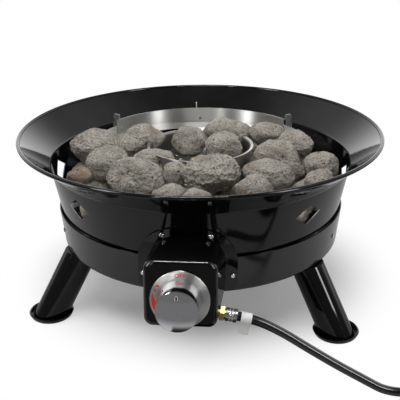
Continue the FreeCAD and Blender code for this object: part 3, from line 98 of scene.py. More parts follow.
def calculate(tree: Tree, operation: str, *values: object) -> Socket:
    """One step of arithmetic on sockets or plain numbers."""
    made = node(tree, "ShaderNodeMath", operation=operation)
    for target, value in zip(made.inputs, values):
        feed(target, value)
    return made.outputs[0]


def stretch(tree: Tree, value: Socket, low: object, high: object, first: float = 0.0,
            second: float = 1.0, kind: str = "LINEAR") -> Socket:
    """Map a value from one range to another.

    Args:
        tree: Node tree.
        value: What is measured.
        low: Value that becomes first.
        high: Value that becomes second.
        first: New low end.
        second: New high end.
        kind: LINEAR, or SMOOTHSTEP for soft ends.

    Returns:
        The new value.
    """
    made = node(tree, "ShaderNodeMapRange", interpolation_type=kind)
    for key, number in (("Value", value), ("From Min", low), ("From Max", high),
                        ("To Min", first), ("To Max", second)):
        feed(made.inputs[key], number)
    return made.outputs["Result"]


def soft_step(tree: Tree, value: Socket, span: Pair, first: float = 0.0, second: float = 1.0) -> Socket:
    """Smooth step over a span, from a first level to a second one."""
    return stretch(tree, value, *span, first, second, "SMOOTHSTEP")


def mix(tree: Tree, first: object, second: object, factor: object, blend: str = "MIX") -> Socket:
    """Mix two colours; each may be a socket or a plain value.

    Args:
        tree: The material's node tree.
        first: Colour at factor 0.
        second: Colour at factor 1.
        factor: Share of the second.
        blend: Blender's name of the way to mix.

    Returns:
        The mixed colour.
    """
    made = node(tree, "ShaderNodeMix", data_type="RGBA", blend_type=blend)
    for key, value in (("A", first), ("B", second), ("Factor", factor)):
        feed(made.inputs[key], value)
    return made.outputs["Result"]


def axes(tree: Tree, place: Socket) -> list[Socket]:
    """The X, Y and Z of a vector."""
    split = node(tree, "ShaderNodeSeparateXYZ")
    feed(split.inputs[0], place)
    return list(split.outputs)


def texture(tree: Tree, kind: str, place: Socket, size: Socket, **values: float) -> bpy.types.Node:
    """Texture with features of a given size.

    Args:
        tree: Node tree.
        kind: Blender's identifier of the texture.
        place: Texture position.
        size: Size in metres.
        **values: Its other inputs.

    Returns:
        The texture node.
    """
    made = node(tree, kind, **values)
    feed(made.inputs["Vector"], place)
    feed(made.inputs["Scale"], calculate(tree, "DIVIDE", 1.0, size))
    return made


def emboss(tree: Tree, shader: bpy.types.Node, height: Socket, distance: float, strength: float) -> None:
    """Give a shader relief from a height mask.

    Args:
        tree: The material's node tree.
        shader: Its shader.
        height: The mask.
        distance: Height in metres that a full mask stands for.
        strength: Share of it that shows.
    """
    bump = node(tree, "ShaderNodeBump", Distance=distance, Strength=strength)
    feed(bump.inputs["Height"], height)
    feed(shader.inputs["Normal"], bump.outputs["Normal"])


def shared_group(name: str, **inputs: float) -> tuple:
    """Start a shader node group that turns a position into a mask.

    Args:
        name: Name of the group.
        **inputs: Names and default values of its number inputs, beside the position.

    Returns:
        The group's tree, its inputs by name and the input of its mask.
    """
    tree = bpy.data.node_groups.new(name, "ShaderNodeTree")
    tree.interface.new_socket("Place", in_out="INPUT", socket_type="NodeSocketVector")
    for key, value in inputs.items():
        socket = tree.interface.new_socket(key, in_out="INPUT", socket_type="NodeSocketFloat")
        socket.default_value = value
    tree.interface.new_socket("Mask", in_out="OUTPUT", socket_type="NodeSocketFloat")
    start, end = tree.nodes.new("NodeGroupInput"), tree.nodes.new("NodeGroupOutput")
    return tree, start.outputs, end.inputs["Mask"]


def speckle_group() -> Tree:
    """Fine grain: a cloudy mask of small spots for paint, cast metal and rubber."""
    tree, given, mask = shared_group("Fine Speckle", Size=0.001, Detail=4.0)
    cloud = texture(tree, "ShaderNodeTexNoise", given["Place"], given["Size"], Roughness=0.6)
    feed(cloud.inputs["Detail"], given["Detail"])
    feed(mask, cloud.outputs["Fac"])
    return tree


def brushed_group() -> Tree:
    """Long fine lines, as a belt leaves on sheet metal; they run level round the axis."""
    tree, given, mask = shared_group("Brushed Lines", Size=0.0006, Stretch=40.0)
    x, y, z = axes(tree, given["Place"])
    turn = calculate(tree, "ARCTAN2", y, x)
    squared = calculate(tree, "MULTIPLY_ADD", y, y, calculate(tree, "MULTIPLY", x, x))
    join = node(tree, "ShaderNodeCombineXYZ")
    for target, value in zip(join.inputs, (calculate(tree, "DIVIDE", turn, given["Stretch"]), z,
                                           calculate(tree, "SQRT", squared))):
        feed(target, value)
    lines = texture(tree, "ShaderNodeTexNoise", join.outputs[0], given["Size"], Detail=3.0, Roughness=0.7)
    feed(mask, lines.outputs["Fac"])
    return tree


def dust_group() -> Tree:
    """Thin settled dust and finger marks: a soft patchy mask that favours level faces."""
    tree, given, mask = shared_group("Settled Dust", Size=0.05, Amount=0.3)
    cloud = texture(tree, "ShaderNodeTexNoise", given["Place"], given["Size"], Detail=6.0, Roughness=0.65)
    patches = stretch(tree, cloud.outputs["Fac"], 0.42, 0.75)
    upward = axes(tree, node(tree, "ShaderNodeNewGeometry").outputs["Normal"])[2]
    both = calculate(tree, "MULTIPLY", patches, stretch(tree, upward, -0.4, 1.0, 0.35, 1.0))
    feed(mask, calculate(tree, "MULTIPLY", both, given["Amount"]))
    return tree


def pores_group() -> Tree:
    """Round pores scattered over stone: 0 inside a pore and 1 between them."""
    tree, given, mask = shared_group("Open Pores", Size=0.004, Open=0.25, Share=0.4)
    wander = node(tree, "ShaderNodeTexNoise", Scale=170.0)
    feed(wander.inputs["Vector"], given["Place"])
    bend = node(tree, "ShaderNodeMix", data_type="VECTOR", Factor=0.005)
    feed(bend.inputs["A"], given["Place"])
    feed(bend.inputs["B"], wander.outputs["Color"])
    cells = texture(tree, "ShaderNodeTexVoronoi", bend.outputs["Result"], given["Size"], Randomness=1.0)
    inner = calculate(tree, "MULTIPLY", given["Open"], 0.4)
    ring = stretch(tree, cells.outputs["Distance"], inner, given["Open"])
    pick = node(tree, "ShaderNodeSeparateColor")
    feed(pick.inputs["Color"], cells.outputs["Color"])
    closed = calculate(tree, "GREATER_THAN", pick.outputs["Red"], given["Share"])
    feed(mask, calculate(tree, "MAXIMUM", ring, closed))
    return tree


class Groups:
    """The shared effects, each built once."""

    def __init__(self) -> None:
        self.pores = pores_group()
        self.speckle = speckle_group()
        self.brushed = brushed_group()
        self.dust = dust_group()

    @staticmethod
    def place(tree: Tree, group: Tree, where: Socket, **values: float) -> Socket:
        """Put a group in a material.

        Args:
            tree: The material's node tree.
            group: The effect.
            where: Texture position that feeds it.
            **values: Input values by name.

        Returns:
            Its mask output.
        """
        made = node(tree, "ShaderNodeGroup")
        made.node_tree = group
        feed(made.inputs["Place"], where)
        for key, value in values.items():
            made.inputs[key].default_value = value
        return made.outputs["Mask"]


# ---- finishes --------------------------------------------------------------------------------
DUST_COLOUR = (0.22, 0.21, 0.20, 1.0)
RUST_COLOUR = (0.27, 0.20, 0.13, 1.0)
# Near black painted inside the pores of the stone: painted shade in the holes.
PORE_SHADE_COLOUR = (0.020, 0.017, 0.015, 1.0)
ANISOTROPY = 0.98
ANISOTROPY_TURN = 0.25
PATCHES = {"Size": 0.03, "Detail": 5.0}
BLEND_RANGE = (0.12, 0.42)
SMOOTHEST = 0.02
DUST_DULLS = 0.4
SHEET_RELIEF = 0.6
STONE_RELIEF = 0.95
STONE_GRAIN_SHARE = 0.7
EARTH_PATCHES = {"Size": 0.022, "Detail": 3.0}
RUST_PATCHES = {"Size": 0.034, "Detail": 2.0}
SMALL_PORES = {"Size": 0.0052, "Open": 0.26, "Share": 0.45}
LARGE_PORES = {"Size": 0.0125, "Open": 0.20, "Share": 0.42}


class Surface(Enum):
    """How a finish's surface is worked."""

    ENAMEL = "enamel"
    BRUSHED = "brushed"
    POLISHED = "polished"
    CAST = "cast"
    RUBBER = "rubber"
    PAPER = "paper"
    STONE = "stone"


@dataclass(frozen=True)
class Finish:
    """One finish, in plain values.

    Its name and surface are followed by two colours that it blends, its metallic share, its
    roughness and how far that varies, then the size of its grain and the height of its relief in
    metres, how dusty it is, the axis that brushed lines run round, and its specular level.
    """

    name: str
    surface: Surface
    colour: Colour
    second: Colour
    metallic: float
    roughness: float
    spread: float
    grain: float
    bump: float
    dust: float = 0.0
    lines_round: str = "Z"
    specular: float = 0.5

    def build(self, groups: Groups) -> bpy.types.Material:
        """Make the material.

        Args:
            groups: The shared effects.

        Returns:
            A node material for this finish.
        """
        material = bpy.data.materials.new(self.name)
        material.use_nodes = True
        tree = material.node_tree
        shader = tree.nodes["Principled BSDF"]
        shader.inputs["Metallic"].default_value = self.metallic
        shader.inputs["Specular IOR Level"].default_value = self.specular
        where = node(tree, "ShaderNodeTexCoord").outputs["Object"]
        if self.surface is Surface.STONE:
            self.stone(tree, shader, where, groups)
        else:
            self.plain(tree, shader, where, groups)
        return material

    def plain(self, tree: Tree, shader: bpy.types.Node, where: Socket, groups: Groups) -> None:
        """Paint, metal, rubber or paper: two blended tones, grain, dust and uneven gloss.

        Args:
            tree: The material's node tree.
            shader: Its Principled shader.
            where: Texture position.
            groups: The shared effects.
        """
        brushed = self.surface is Surface.BRUSHED
        if brushed:
            shader.inputs["Anisotropic"].default_value = ANISOTROPY
            shader.inputs["Anisotropic Rotation"].default_value = ANISOTROPY_TURN
            around = node(tree, "ShaderNodeTangent", direction_type="RADIAL", axis=self.lines_round)
            feed(shader.inputs["Tangent"], around.outputs["Tangent"])
        grain = groups.place(tree, groups.brushed if brushed else groups.speckle, where, Size=self.grain)
        patches = groups.place(tree, groups.speckle, where, **PATCHES)
        blend = stretch(tree, calculate(tree, "MULTIPLY", grain, patches), *BLEND_RANGE)
        colour = mix(tree, (*self.colour, 1.0), (*self.second, 1.0), blend)
        roughness = stretch(tree, patches, 0.0, 1.0, max(SMOOTHEST, self.roughness - self.spread),
                            self.roughness + self.spread)
        if self.dust:
            dust = groups.place(tree, groups.dust, where, Amount=self.dust)
            colour = mix(tree, colour, DUST_COLOUR, dust)
            roughness = calculate(tree, "MULTIPLY_ADD", dust, DUST_DULLS, roughness)
        feed(shader.inputs["Base Color"], colour)
        feed(shader.inputs["Roughness"], roughness)
        if self.bump:
            emboss(tree, shader, grain, self.bump, SHEET_RELIEF)

    def stone(self, tree: Tree, shader: bpy.types.Node, where: Socket, groups: Groups) -> None:
        """Porous lava: two earthy greys with rusty patches, pores painted near black as shade, creases
        painted darker as shade and ridges lighter as dust.

        Args:
            tree: The material's node tree.
            shader: Its Principled shader.
            where: Texture position.
            groups: The shared effects.
        """
        fine = groups.place(tree, groups.speckle, where, Size=self.grain, Detail=8.0)
        patches = groups.place(tree, groups.speckle, where, **EARTH_PATCHES)
        rust = groups.place(tree, groups.speckle, where, **RUST_PATCHES)
        small = groups.place(tree, groups.pores, where, **SMALL_PORES)
        large = groups.place(tree, groups.pores, where, **LARGE_PORES)
        solid = calculate(tree, "MINIMUM", small, large)
        ridges = node(tree, "ShaderNodeNewGeometry").outputs["Pointiness"]
        earth = mix(tree, (*self.colour, 1.0), (*self.second, 1.0), stretch(tree, patches, 0.38, 0.62))
        rusty = mix(tree, earth, RUST_COLOUR, stretch(tree, rust, 0.58, 0.74, 0.0, 0.5))
        grit = mix(tree, rusty, stretch(tree, fine, 0.32, 0.68, 0.42, 1.25), 0.9, "MULTIPLY")
        # Painted shade and dust: the mesh's pointiness darkens creases as shade and lightens ridges as dust.
        crease_shade_and_ridge_dust = mix(tree, grit, stretch(tree, ridges, 0.43, 0.56, 0.36, 1.32), 0.95, "MULTIPLY")
        # The pores get the near black of painted shade.
        feed(shader.inputs["Base Color"], mix(tree, PORE_SHADE_COLOUR, crease_shade_and_ridge_dust, solid))
        shader.inputs["Roughness"].default_value = self.roughness
        height = calculate(tree, "MULTIPLY_ADD", fine, STONE_GRAIN_SHARE, solid)
        emboss(tree, shader, height, self.bump, STONE_RELIEF)


BLACK_ENAMEL = Finish("Gloss black enamel", Surface.ENAMEL, (0.0022, 0.0022, 0.0024),
                      (0.0036, 0.0036, 0.0038), 0.0, 0.07, 0.015, 0.004, 0.00002, 0.02, specular=0.30)
BOX_ENAMEL = Finish("Deep black enamel", Surface.ENAMEL, (0.0016, 0.0016, 0.0018),
                    (0.0028, 0.0028, 0.0030), 0.0, 0.06, 0.015, 0.004, 0.00001, 0.01, specular=0.34)
PAN_ENAMEL = Finish("Satin black enamel", Surface.ENAMEL, (0.0032, 0.0032, 0.0034),
                    (0.005, 0.005, 0.0053), 0.0, 0.12, 0.03, 0.003, 0.00003, 0.03)
ZINC_STEEL = Finish("Zinc plated steel", Surface.CAST, (0.60, 0.60, 0.59), (0.68, 0.67, 0.65), 1.0, 0.24,
                    0.04, 0.0008, 0.000004, 0.04)
POLISHED_STEEL = Finish("Polished stainless steel", Surface.BRUSHED, (0.46, 0.46, 0.45),
                        (0.56, 0.56, 0.545), 1.0, 0.34, 0.03, 0.0006, 0.000004, 0.02)
BRUSHED_STEEL = Finish("Brushed stainless steel", Surface.BRUSHED, (0.58, 0.58, 0.56),
                       (0.72, 0.71, 0.69), 1.0, 0.42, 0.05, 0.0007, 0.00003, 0.05)
SPUN_STEEL = Finish("Spun stainless steel", Surface.BRUSHED, (0.66, 0.66, 0.65), (0.76, 0.76, 0.74), 1.0,
                    0.34, 0.04, 0.0006, 0.00001, 0.02, "Y")
CHROME = Finish("Chrome plate", Surface.POLISHED, (0.68, 0.68, 0.70), (0.72, 0.72, 0.74), 1.0, 0.10, 0.02,
                0.004, 0.0, 0.01)
# A darker copy of the brushed steel for the flame ring: painted shade.
SHADED_STEEL = Finish("Shaded brushed steel", Surface.BRUSHED, (0.40, 0.39, 0.38), (0.52, 0.51, 0.50), 1.0,
                      0.32, 0.05, 0.0007, 0.00003, 0.05)
BRASS = Finish("Machined brass", Surface.CAST, (0.56, 0.43, 0.16), (0.66, 0.52, 0.24), 1.0, 0.28, 0.07,
               0.0007, 0.00002, 0.04)
CAST_ZINC = Finish("Cast zinc", Surface.CAST, (0.34, 0.34, 0.34), (0.45, 0.45, 0.44), 0.85, 0.48, 0.08,
                   0.0009, 0.00008, 0.1)
ALUMINIUM = Finish("Drawn aluminium", Surface.CAST, (0.60, 0.60, 0.61), (0.68, 0.68, 0.68), 1.0, 0.32,
                   0.06, 0.0007, 0.00002, 0.05)
BLACK_RUBBER = Finish("Black rubber", Surface.RUBBER, (0.012, 0.012, 0.012), (0.02, 0.02, 0.02), 0.0,
                      0.55, 0.08, 0.0006, 0.00005, 0.12)
HOSE_RUBBER = Finish("Hose rubber", Surface.RUBBER, (0.006, 0.006, 0.0055), (0.010, 0.0095, 0.009), 0.0,
                     0.16, 0.03, 0.0007, 0.00001, 0.03)
PAPER = Finish("Label paper", Surface.PAPER, (0.74, 0.74, 0.73), (0.82, 0.82, 0.81), 0.0, 0.55, 0.08,
               0.0006, 0.00003, 0.02)
NYLON = Finish("Ribbed nylon", Surface.CAST, (0.012, 0.012, 0.012), (0.02, 0.02, 0.02), 0.0, 0.42, 0.08,
               0.0006, 0.00005, 0.1)
PALE_PRINT = Finish("Pale print", Surface.PAPER, (0.60, 0.60, 0.60), (0.68, 0.68, 0.68), 0.0, 0.4, 0.05,
                    0.0006, 0.00001, 0.02)
RED_PRINT = Finish("Red print", Surface.PAPER, (0.55, 0.012, 0.016), (0.62, 0.02, 0.024), 0.0, 0.4, 0.05,
                   0.0005, 0.0)
LAVA = Finish("Lava rock", Surface.STONE, (0.236, 0.214, 0.182), (0.335, 0.311, 0.272), 0.0, 0.93, 0.0,
              0.0018, 0.0014, specular=0.25)
BROWN_LAVA = Finish("Brown lava rock", Surface.STONE, (0.20, 0.150, 0.105), (0.30, 0.245, 0.19), 0.0, 0.93,
                    0.0, 0.0018, 0.0014, specular=0.25)

NODE_FINISHES: dict[Finish, tuple[str, ...]] = {
    BLACK_ENAMEL: ("fire_bowl", "foot_flange_left", "foot_flange_right", "foot_flange_rear"),
    BOX_ENAMEL: ("leg_tube_left", "leg_tube_right", "leg_tube_rear", "top_flange_left",
                 "top_flange_right", "top_flange_rear", "box_cover"),
    PAN_ENAMEL: ("base_pan",),
    ZINC_STEEL: ("support_brackets", "bracket_rivets", "leg_studs", "leg_washers", "leg_nuts",
                 "burner_posts", "cover_screws", "push_collar", "return_spring", "inlet_ferrule",
                 "guard_rivets", "end_ferrule"),
    POLISHED_STEEL: ("guard_band", "guard_fins"),
    SHADED_STEEL: ("flame_ring",),
    SPUN_STEEL: ("dial_plate",),
    BRUSHED_STEEL: ("rock_tray", "burner_ring", "burner_grate", "guard_rail"),
    CHROME: ("knob", "knob_cap"),
    BRASS: ("air_mixer", "gas_orifice", "valve_lock_nut", "valve_stem", "inlet_pipe", "inlet_nut",
            "tank_nipple"),
    CAST_ZINC: ("valve_body", "regulator_body", "regulator_cap"),
    ALUMINIUM: ("gas_tube",),
    BLACK_RUBBER: ("tube_grommet", "knob_pointer"),
    HOSE_RUBBER: ("hose_run", "hose_coil", "hose_tail"),
    PAPER: ("hose_tag",),
    NYLON: ("coupling_nut",),
    LAVA: ("outer_rocks", "middle_rocks", "top_rocks_left", "top_rocks_front", "top_rocks_right",
           "ring_rocks"),
}


class Finisher:
    """Keeps one material for each finish."""

    def __init__(self) -> None:
        self.groups = Groups()
        self.made: dict[str, bpy.types.Material] = {}

    def material(self, finish: Finish) -> bpy.types.Material:
        """The finish's material, made on first use."""
        if finish.name not in self.made:
            self.made[finish.name] = finish.build(self.groups)
        return self.made[finish.name]

    def dress(self, piece: Piece, finish: Finish) -> None:
        """Give a piece one finish in all its material slots."""
        piece.data.materials.clear()
        piece.data.materials.append(self.material(finish))

    def dress_nodes(self) -> None:
        """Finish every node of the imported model."""
        for finish, names in NODE_FINISHES.items():
            for name in names:
                self.dress(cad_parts[name], finish)
                LOG.info("finished %s as %s", name, finish.name)


def link_object(name: str, data: bpy.types.ID) -> Piece:
    """Put new object data in the scene.

    Args:
        name: Name of the piece.
        data: Mesh, curve or lamp data.

    Returns:
        The new object, at the origin.
    """
    made = bpy.data.objects.new(name, data)
    bpy.context.scene.collection.objects.link(made)
    return made


def closed_piece(name: str, verts: list, faces: list[tuple[int, ...]]) -> Piece:
    """Closed piece from its points and faces.

    Args:
        name: Name of the piece.
        verts: Its points in metres.
        faces: Its faces, wound either way.

    Returns:
        The piece, with its normals outward.
    """
    mesh = bpy.data.meshes.new(name)
    mesh.from_pydata(verts, [], faces)
    shape = bmesh.new()
    shape.from_mesh(mesh)
    bmesh.ops.recalc_face_normals(shape, faces=shape.faces)
    shape.to_mesh(mesh)
    shape.free()
    return link_object(name, mesh)


def ring_faces(rings: int, size: int, closed: bool = True) -> list[tuple[int, ...]]:
    """Faces between rings of points that follow each other.

    Args:
        rings: Number of rings.
        size: Points in each ring.
        closed: Whether the last ring joins the first.

    Returns:
        The faces.
    """
    faces = []
    for ring in range(rings if closed else rings - 1):
        a, b = size * ring, size * ((ring + 1) % rings)
        faces += [(a + i, a + (i + 1) % size, b + (i + 1) % size, b + i) for i in range(size)]
    return faces


# ---- fire bowl -------------------------------------------------------------------------------
@dataclass
class FireBowl:
    """The spun bowl as one smooth sheet: drum wall, flared rim, rolled bead and cut vents."""

    finisher: Finisher
    foot: Pair = (0.2401, 0.1772)
    neck: Pair = (0.2544, 0.2531)
    bead: Pair = (0.3020, 0.2959)
    bead_radius: float = 0.003
    bend: float = 0.006
    sheet: float = 0.0015
    segments: int = 384
    bend_steps: int = 8
    bead_steps: int = 28
    vent_half_width: float = 0.0283
    vent_half_height: float = 0.0170
    vent_z: float = 0.2203
    vent_clocking: float = 0.6
    vent_step: float = 45.0
    vents: int = 7
    vent_cut: Pair = (-0.29, -0.20)
    screw_radius: float = 0.00215
    screw_azimuth: float = 8.2
    screw_z: float = 0.215
    screw_y: float = -0.245
    screw_depth: float = 0.03
    screw_segments: int = 32
    same_side: float = 0.9

    def profile(self) -> list[tuple[np.ndarray, np.ndarray, np.ndarray, np.ndarray]]:
        """Closed outline of the sheet in the half plane of radius and height.

        Returns:
            Its pieces, each as start, normal there, end and normal there.
        """
        foot, neck, bead = np.array(self.foot), np.array(self.neck), np.array(self.bead)
        wall = (neck - foot) / np.linalg.norm(neck - foot)
        flare = (bead - neck) / np.linalg.norm(bead - neck)
        wall_in, flare_in = np.array([-wall[1], wall[0]]), np.array([-flare[1], flare[0]])
        turn = math.acos(float(wall @ flare))
        reach = self.bend * math.tan(turn / 2)
        begin, end = neck - wall * reach, neck + flare * reach
        centre = begin - wall_in * self.bend
        first = math.atan2(*(begin - centre)[::-1])
        pieces = []

        def arc(middle: np.ndarray, radius: float, start: float, stop: float, steps: int,
                side: float) -> None:
            marks = [start + (stop - start) * i / steps for i in range(steps + 1)]
            rays = [np.array([math.cos(a), math.sin(a)]) for a in marks]
            for one, two in zip(rays, rays[1:]):
                pieces.append((middle + one * radius, one * side, middle + two * radius, two * side))

        back = math.sqrt(self.bead_radius ** 2 - self.sheet ** 2)
        bead_start, bead_end = -flare * self.bead_radius, -flare * back + flare_in * self.sheet
        start_angle = math.atan2(bead_start[1], bead_start[0])
        end_angle = math.atan2(bead_end[1], bead_end[0]) + 2 * math.pi
        pieces.append((foot, -wall_in, begin, -wall_in))
        arc(centre, self.bend, first, first - turn, self.bend_steps, -1.0)
        pieces.append((end, -flare_in, bead + bead_start, -flare_in))
        arc(bead, self.bead_radius, start_angle, end_angle, self.bead_steps, 1.0)
        pieces.append((bead + bead_end, flare_in, end + flare_in * self.sheet, flare_in))
        arc(centre, self.bend + self.sheet, first - turn, first, self.bend_steps, 1.0)
        inner_foot = foot + wall_in * self.sheet
        pieces.append((begin + wall_in * self.sheet, wall_in, inner_foot, wall_in))
        pieces.append((inner_foot, -wall, foot, -wall))
        return pieces

    def cutters(self) -> Piece:
        """Lozenge prisms for the seven open vents and rods for the two screw holes.

        Returns:
            All of them in one object.
        """
        shape = bmesh.new()
        for number in range(1, self.vents + 1):
            turn = Matrix.Rotation(math.radians(self.vent_clocking + self.vent_step * number), 3, "Z")
            ends = []
            for y in self.vent_cut:
                ends.append([shape.verts.new(turn @ Vector((x, y, self.vent_z + z))) for x, z in (
                    (0, -self.vent_half_height), (self.vent_half_width, 0),
                    (0, self.vent_half_height), (-self.vent_half_width, 0))])
            shape.faces.new(ends[0])
            shape.faces.new(ends[1][::-1])
            for i in range(4):
                j = (i + 1) % 4
                shape.faces.new((ends[0][j], ends[0][i], ends[1][i], ends[1][j]))
        for side in (-1, 1):
            place = (Matrix.Rotation(math.radians(side * self.screw_azimuth), 4, "Z")
                     @ Matrix.Translation(Vector((0, self.screw_y, self.screw_z)))
                     @ Matrix.Rotation(math.pi / 2, 4, "X"))
            bmesh.ops.create_cone(shape, cap_ends=True, segments=self.screw_segments,
                                  radius1=self.screw_radius, radius2=self.screw_radius,
                                  depth=self.screw_depth, matrix=place)
        bmesh.ops.recalc_face_normals(shape, faces=shape.faces)
        mesh = bpy.data.meshes.new("bowl_cutters")
        shape.to_mesh(mesh)
        shape.free()
        return link_object("bowl_cutters", mesh)

    def lathe(self, pieces: list) -> Piece:
        """Turn the outline about the axis.

        Args:
            pieces: The outline.

        Returns:
            The closed sheet.
        """
        verts = []
        for start, *_ in pieces:
            for step in range(self.segments):
                angle = 2 * math.pi * (step + 0.5) / self.segments
                verts.append((start[0] * math.cos(angle), start[0] * math.sin(angle), start[1]))
        return closed_piece("fire_bowl_sheet", verts, ring_faces(len(pieces), self.segments))

    def true_normals(self, mesh: bpy.types.Mesh, pieces: list) -> None:
        """Shade the sheet by the outline's own normals; cut edges stay flat.

        Args:
            mesh: The cut sheet.
            pieces: The outline.
        """
        total = len(mesh.polygons)

        def read(items: bpy.types.bpy_prop_collection, key: str, columns: int) -> np.ndarray:
            values = np.zeros(len(items) * columns, float if columns > 1 else int)
            items.foreach_get(key, values)
            return values.reshape(-1, columns) if columns > 1 else values

        middle, face = read(mesh.polygons, "center", 3), read(mesh.polygons, "normal", 3)
        size = read(mesh.polygons, "loop_total", 1)
        place = read(mesh.vertices, "co", 3)[read(mesh.loops, "vertex_index", 1)]
        owner = np.repeat(np.arange(total), size)
        flat = np.stack([np.hypot(middle[:, 0], middle[:, 1]), middle[:, 2]], 1)
        one = np.array([p[0] for p in pieces])
        two = np.array([p[2] for p in pieces])
        way = two - one
        part = np.einsum("nsk,sk->ns", flat[:, None] - one[None], way) / (way ** 2).sum(1)
        part = np.clip(part, 0, 1)
        gap = np.linalg.norm(flat[:, None] - one[None] - part[..., None] * way[None], axis=2)
        nearest = gap.argmin(1)[owner]
        spot = np.stack([np.hypot(place[:, 0], place[:, 1]), place[:, 2]], 1)
        along = ((spot - one[nearest]) * way[nearest]).sum(1) / (way ** 2).sum(1)[nearest]
        along = np.clip(along, 0, 1)[:, None]
        start = np.array([p[1] for p in pieces])[nearest]
        stop = np.array([p[3] for p in pieces])[nearest]
        aim = start * (1 - along) + stop * along
        aim /= np.linalg.norm(aim, axis=1)[:, None]
        turn = np.arctan2(place[:, 1], place[:, 0])
        ray = np.stack([aim[:, 0] * np.cos(turn), aim[:, 0] * np.sin(turn), aim[:, 1]], 1)
        own = face[owner]
        skin = (ray * own).sum(1) > self.same_side
        ray[~skin] = own[~skin]
        faces = np.zeros(total, int)
        np.maximum.at(faces, owner, (~skin).astype(int))
        for finish in (BLACK_ENAMEL, ZINC_STEEL):
            mesh.materials.append(self.finisher.material(finish))
        mesh.polygons.foreach_set("material_index", faces)
        mesh.shade_smooth()
        mesh.normals_split_custom_set(ray.tolist())

    def build(self) -> Piece:
        """Spin the bowl, cut it and put it in its node's place.

        Returns:
            The bowl.
        """
        pieces = self.profile()
        bowl = self.lathe(pieces)
        cutters = self.cutters()
        cut = bowl.modifiers.new("vents", "BOOLEAN")
        cut.operation = "DIFFERENCE"
        cut.solver = "EXACT"
        cut.object = cutters
        graph = bpy.context.evaluated_depsgraph_get()
        mesh = bpy.data.meshes.new_from_object(bowl.evaluated_get(graph))
        bowl.modifiers.clear()
        bowl.data = mesh
        bpy.data.objects.remove(cutters)
        mesh.materials.clear()
        self.true_normals(mesh, pieces)
        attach(bowl, "frame")
        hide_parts("fire_bowl")
        LOG.info("spun the bowl")
        return bowl


# ---- lava rocks ------------------------------------------------------------------------------
@dataclass(frozen=True)
class Stone:
    """Shape of one visible rock.

    x and y find its stone in millimetres; then come its stretches, its turn and lean, a shift in
    millimetres, how craggy it is, and the lobes (centre and radius) that it grows from.
    """

    x: float
    y: float
    length: float = 1.0
    width: float = 1.0
    height: float = 1.0
    yaw: float = 0.0
    lean: float = 0.0
    shift: Triple = (0.0, 0.0, 0.0)
    crag: float = 0.0
    brown: bool = False
    lobes: tuple[Quad, ...] = ()


